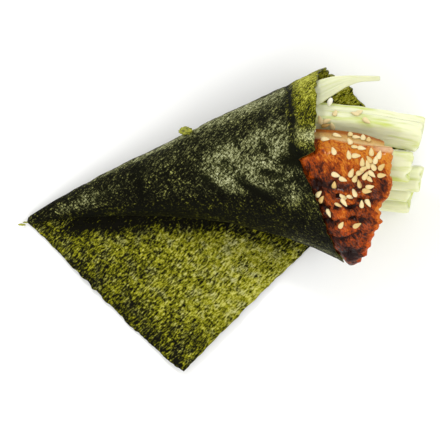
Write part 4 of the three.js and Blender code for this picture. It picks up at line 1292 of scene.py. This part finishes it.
class CucumberSettings(bpy.types.PropertyGroup):
    pale: colour_setting("Flesh", "The pale middle of the cucumber", "#d9dbb6")
    green: colour_setting("Strands", "The greener flesh near the skin", "#bcc666")


class SesameSettings(bpy.types.PropertyGroup):
    length: length_setting("Length", "Length of one seed", 3.1, 1, 5)
    width: length_setting("Width", "Width of one seed", 1.6, 0.5, 3)
    thickness: length_setting("Thickness", "Thickness of one seed", 0.95, 0.3, 2)
    scatter: IntProperty(
        name="Scatter", description="Which of many random scatters is used", default=4, min=0
    )


class RiceSettings(bpy.types.PropertyGroup):
    length: length_setting("Length", "Length of one grain", 5.8, 3, 9)
    width: length_setting("Width", "Width of one grain", 2.6, 1, 4)
    count: IntProperty(
        name="Grains", description="How many grains show at the mouth", default=290, min=0, max=600
    )
    scatter: IntProperty(name="Scatter", description="Which of many random heaps is used", default=7, min=0)


class StageSettings(bpy.types.PropertyGroup):
    floor: colour_setting("Floor", "The plain floor", "#f4f4f2")
    key: FloatProperty(name="Key light", description="Power of the key lamp", default=7, min=0, unit="POWER")
    sky: FloatProperty(name="Room light", description="Strength of the even light", default=0.98, min=0)


def carried(piece, slot, *nodes):
    """A finished piece that rides on the roll, in place of some of the frame's nodes."""
    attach(piece, "root")
    if nodes:
        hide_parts(*nodes)
    return piece


# ---- Operators ------------------------------------------------------------------------------------------
class HANDROLL_OT_nori(bpy.types.Operator):
    """Roll the nori sheet, with its loose tail"""

    bl_idname = "hand_roll.nori"
    bl_label = "Nori"

    def execute(self, context):
        given = context.scene.hand_roll_nori
        smooth = nori_outer_material(given)
        rough = nori_inner_material(given)
        torn = crumb_material("torn nori edge", "#2a2c0a", "#7f8024")
        flake = crumb_material("nori flake", "#54560c", "#a8a92c")
        nori = build_nori(given.crumple / MM, given.fray / MM, [smooth, rough, torn])
        carried(nori, "nori", "nori_sheet")
        crumbs = build_nori_crumbs(flake)
        carried(crumbs, "nori")
        return {"FINISHED"}


class HANDROLL_OT_eel(bpy.types.Operator):
    """Lay the glazed grilled eel in the mouth of the roll"""

    bl_idname = "hand_roll.eel"
    bl_label = "Eel"

    def execute(self, context):
        eel = build_eel(eel_glaze_material(context.scene.hand_roll_eel))
        carried(eel, "eel", "eel_slab")
        return {"FINISHED"}


class HANDROLL_OT_cucumber(bpy.types.Operator):
    """Stand the cucumber sticks and the shaving in the roll"""

    bl_idname = "hand_roll.cucumber"
    bl_label = "Cucumber"

    def execute(self, context):
        given = context.scene.hand_roll_cucumber
        flesh = cucumber_material("cut cucumber", given.pale, given.green)
        for number, stick in enumerate(STICKS, start=1):
            piece = build_stick(number, stick, flesh)
            carried(piece, "cucumber", f"cucumber_stick_{number}")
        thin = cucumber_material("cucumber shaving", tint(given.pale, 0.92), given.green, 2.0)
        carried(build_shred(thin), "shred", "cucumber_shred")
        return {"FINISHED"}


class HANDROLL_OT_rice(bpy.types.Operator):
    """Pack the rice behind the filling"""

    bl_idname = "hand_roll.rice"
    bl_label = "Rice"

    def execute(self, context):
        given = context.scene.hand_roll_rice
        steamed = rice_material()
        carried(build_rice_core(steamed), "rice", "rice_heap")
        sizes = {"Length": given.length, "Width": given.width, "Thickness": given.width, "Taper": 0.0}
        carried(build_rice_grains(given.count, given.scatter, sizes, steamed), "rice")
        return {"FINISHED"}


class HANDROLL_OT_sesame(bpy.types.Operator):
    """Strew sesame seeds over the eel and the top cucumber stick"""

    bl_idname = "hand_roll.sesame"
    bl_label = "Sesame"

    def execute(self, context):
        given = context.scene.hand_roll_sesame
        below = [bpy.data.objects.get(name) for name in ("eel", "cucumber_1", "cucumber_2")]
        if None in below:
            raise RuntimeError("Add the eel and the cucumber first")
        sizes = {"Length": given.length, "Width": given.width, "Thickness": given.thickness, "Taper": -1.0}
        seeds = build_seeds(surface_of(below), given.scatter, sizes, seed_material())
        carried(seeds, "eel")
        return {"FINISHED"}


class HANDROLL_OT_stage(bpy.types.Operator):
    """Set the floor, the lights and the camera"""

    bl_idname = "hand_roll.stage"
    bl_label = "Floor, lights and camera"

    def execute(self, context):
        given = context.scene.hand_roll_stage
        build_stage(context, given.floor, given.key, given.sky)
        return {"FINISHED"}


PIECE_OPERATORS = (
    HANDROLL_OT_nori,
    HANDROLL_OT_eel,
    HANDROLL_OT_cucumber,
    HANDROLL_OT_rice,
    HANDROLL_OT_sesame,
    HANDROLL_OT_stage,
)
SETTINGS = {
    "hand_roll_nori": NoriSettings,
    "hand_roll_eel": EelSettings,
    "hand_roll_cucumber": CucumberSettings,
    "hand_roll_rice": RiceSettings,
    "hand_roll_sesame": SesameSettings,
    "hand_roll_stage": StageSettings,
}


class HANDROLL_PT_sidebar(bpy.types.Panel):
    """The pieces of the hand roll and their settings"""

    bl_idname = "HANDROLL_PT_sidebar"
    bl_label = "Hand roll"
    bl_space_type = "VIEW_3D"
    bl_region_type = "UI"
    bl_category = "Hand roll"

    def draw(self, context):
        for operator in PIECE_OPERATORS:
            box = self.layout.box()
            box.operator(operator.bl_idname)
            group = getattr(context.scene, operator.bl_idname.replace(".", "_"), None)
            for key in SETTINGS[operator.bl_idname.replace(".", "_")].__annotations__:
                box.prop(group, key)


def register():
    for group in SETTINGS.values():
        bpy.utils.register_class(group)
    for name, group in SETTINGS.items():
        setattr(bpy.types.Scene, name, PointerProperty(type=group))
    for operator in PIECE_OPERATORS:
        bpy.utils.register_class(operator)
    bpy.utils.register_class(HANDROLL_PT_sidebar)


def unregister():
    bpy.utils.unregister_class(HANDROLL_PT_sidebar)
    for operator in reversed(PIECE_OPERATORS):
        bpy.utils.unregister_class(operator)
    for name, group in SETTINGS.items():
        delattr(bpy.types.Scene, name)
        bpy.utils.unregister_class(group)


def main():
    register()
    bpy.ops.hand_roll.nori()
    bpy.ops.hand_roll.eel()
    bpy.ops.hand_roll.cucumber()
    bpy.ops.hand_roll.rice()
    bpy.ops.hand_roll.sesame()
    bpy.ops.hand_roll.stage()


if __name__ == "__main__":
    main()
